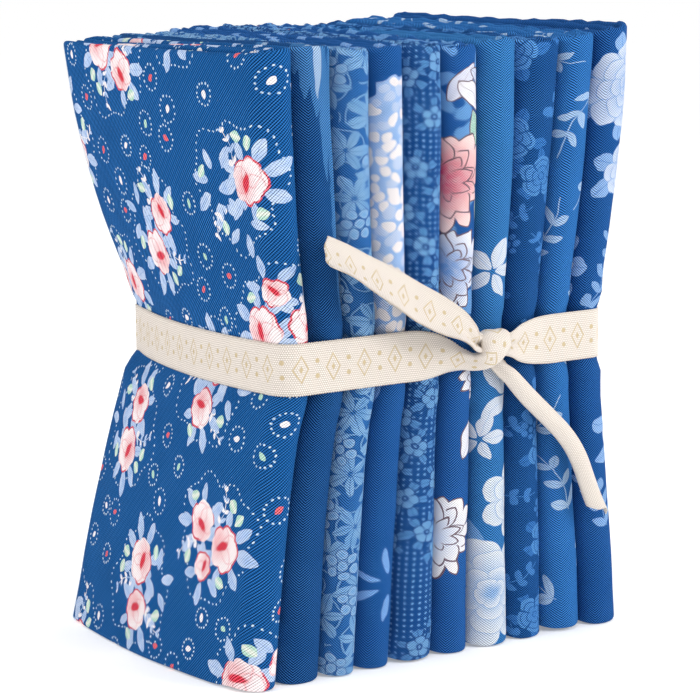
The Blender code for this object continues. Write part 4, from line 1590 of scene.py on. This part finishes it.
# On the first cut the slanting lines run across the whole panel, and on the rest they turn at
# the fold: where they turn and how far apart they lie
PANEL_SLANT = (0.0, 1.05)
FOLD_SLANT = (114.0, 0.78)
for sheet, (recipe, strength) in zip(sheets, PRINTS):
    slant = PANEL_SLANT if recipe is rose_dots else FOLD_SLANT
    sheet.data.materials.append(make_cotton(recipe.__name__, recipe, strength, *slant))

# %% [markdown]
# ## The tape's material
#
# The tape is undyed cotton in a coarse weave with a firm edge. One side carries a printed gold
# row, here a plain one of lozenges and dots, and the thread breaks it up a little.


# %% Gold lozenges on woven tape
def make_tape():
    material, tree, x, y, reverse = new_cloth("tape")
    x, y, cloud, _ = use(tree, WOBBLE, X=x, Y=y, Amount=0.3, Length=6.0)
    rib = sine(x * (HALF_TURN / 0.62))
    ribs = abs(rib) ** 0.7
    rows = abs(sine(y * (HALF_TURN / 0.66) + HALF_TURN / 2 * chosen(rib, 0.0))) ** 0.7
    height = ribs * rows
    middle = RIBBON_WIDTH * 500
    firm = inside(middle - abs(x - middle), 0.9, 0.2)
    colour = lay(dye(150, 136, 122), height * 0.85 + 0.15, dye(244, 236, 229))
    colour = lay(colour, cloud * 0.25, dye(226, 216, 200))
    colour = lay(colour, firm * (1 - rows) * 0.5, dye(186, 174, 156))

    # Lozenges and pairs of dots, seen on the printed side only
    along = wrap(y, -5.5, 5.5)
    lozenge = abs(x - middle) / 4.4 + abs(along) / 2.7
    gold = either(inside(abs(lozenge - 0.88), 0.09, 0.06), inside(lozenge, 0.26, 0.10))
    dots = length_of(abs(abs(along) - 5.5), abs(abs(x - middle) - 2.2))
    gold = either(gold, inside(dots, 0.75, 0.2))
    gold = gold * (1 - reverse) * (0.45 + 0.5 * height)
    colour = lay(colour, gold, dye(190, 168, 120))
    finish_cloth(tree, colour, 0.08, height, 0.6, 0.00016)
    print("Tape has", len(tree.nodes), "nodes")
    return material


ribbon.data.materials.append(make_tape())

# %% [markdown]
# ## The studio
#
# A white floor under a white sky gives the even light of a catalogue picture. The sky is brighter
# towards the right of the picture, and a lamp there rounds every fold. A broad lamp before the
# flat panel and one above fill in, so that only a faint shadow is left on the floor.

# %% Floor and light
REACH = 20
floor_mesh = bpy.data.meshes.new("floor")
floor_corners = [(-REACH, -REACH, 0), (REACH, -REACH, 0), (REACH, REACH, 0), (-REACH, REACH, 0)]
floor_mesh.from_pydata(floor_corners, [], [(0, 1, 2, 3)])
floor = bpy.data.objects.new("floor", floor_mesh)
bpy.context.scene.collection.objects.link(floor)
material = bpy.data.materials.new("white floor")
material.use_nodes = True
shader = material.node_tree.nodes["Principled BSDF"]
shader.inputs["Base Color"].default_value = (0.90, 0.90, 0.90, 1.0)
shader.inputs["Roughness"].default_value = 0.9
shader.inputs["Specular IOR Level"].default_value = 0.0
shader.inputs["Emission Color"].default_value = (1.0, 1.0, 1.0, 1.0)
shader.inputs["Emission Strength"].default_value = 0.26
floor_mesh.materials.append(material)


def add_lamp(name, place, target, size, watts):
    lamp = bpy.data.lights.new(name, "AREA")
    lamp.shape = "DISK"
    lamp.size = size
    lamp.energy = watts
    obj = bpy.data.objects.new(name, lamp)
    obj.location = place
    obj.rotation_euler = (Vector(target) - Vector(place)).to_track_quat("-Z", "Y").to_euler()
    bpy.context.scene.collection.objects.link(obj)


add_lamp("right lamp", (1.20, 0.72, 0.62), (0.0, 0.0, 0.1), 0.6, 8.5)
add_lamp("front lamp", (-0.25, -1.5, 0.7), (0.0, 0.0, 0.1), 0.8, 11.0)
add_lamp("top lamp", (0.3, -0.2, 1.6), (0.0, 0.0, 0.0), 1.0, 4.0)

# The sky is brighter on the right, like a wall of soft light, and the camera sees it plain white
BRIGHT_SIDE = (0.40, 0.85, 0.33)
DARKEST = 0.15
BRIGHTEST = 1.25
world = bpy.data.worlds.new("studio")
world.use_nodes = True
sky = world.node_tree
way = sky.nodes.new("ShaderNodeTexCoord")
facing = sky.nodes.new("ShaderNodeVectorMath")
facing.operation = "DOT_PRODUCT"
facing.inputs[1].default_value = BRIGHT_SIDE
strength = sky.nodes.new("ShaderNodeMapRange")
strength.inputs["From Min"].default_value = -1.0
strength.inputs["To Min"].default_value = DARKEST
strength.inputs["To Max"].default_value = BRIGHTEST
sky.links.new(way.outputs["Generated"], facing.inputs[0])
sky.links.new(facing.outputs["Value"], strength.inputs["Value"])
seen = sky.nodes.new("ShaderNodeLightPath")
white = sky.nodes.new("ShaderNodeMix")
sky.links.new(seen.outputs["Is Camera Ray"], white.inputs["Factor"])
sky.links.new(strength.outputs["Result"], white.inputs["A"])
white.inputs["B"].default_value = 1.0
sky.links.new(white.outputs["Result"], sky.nodes["Background"].inputs["Strength"])
sky.nodes["Background"].inputs["Color"].default_value = (1, 1, 1, 1)
bpy.context.scene.world = world
bpy.context.scene.view_settings.view_transform = "Standard"
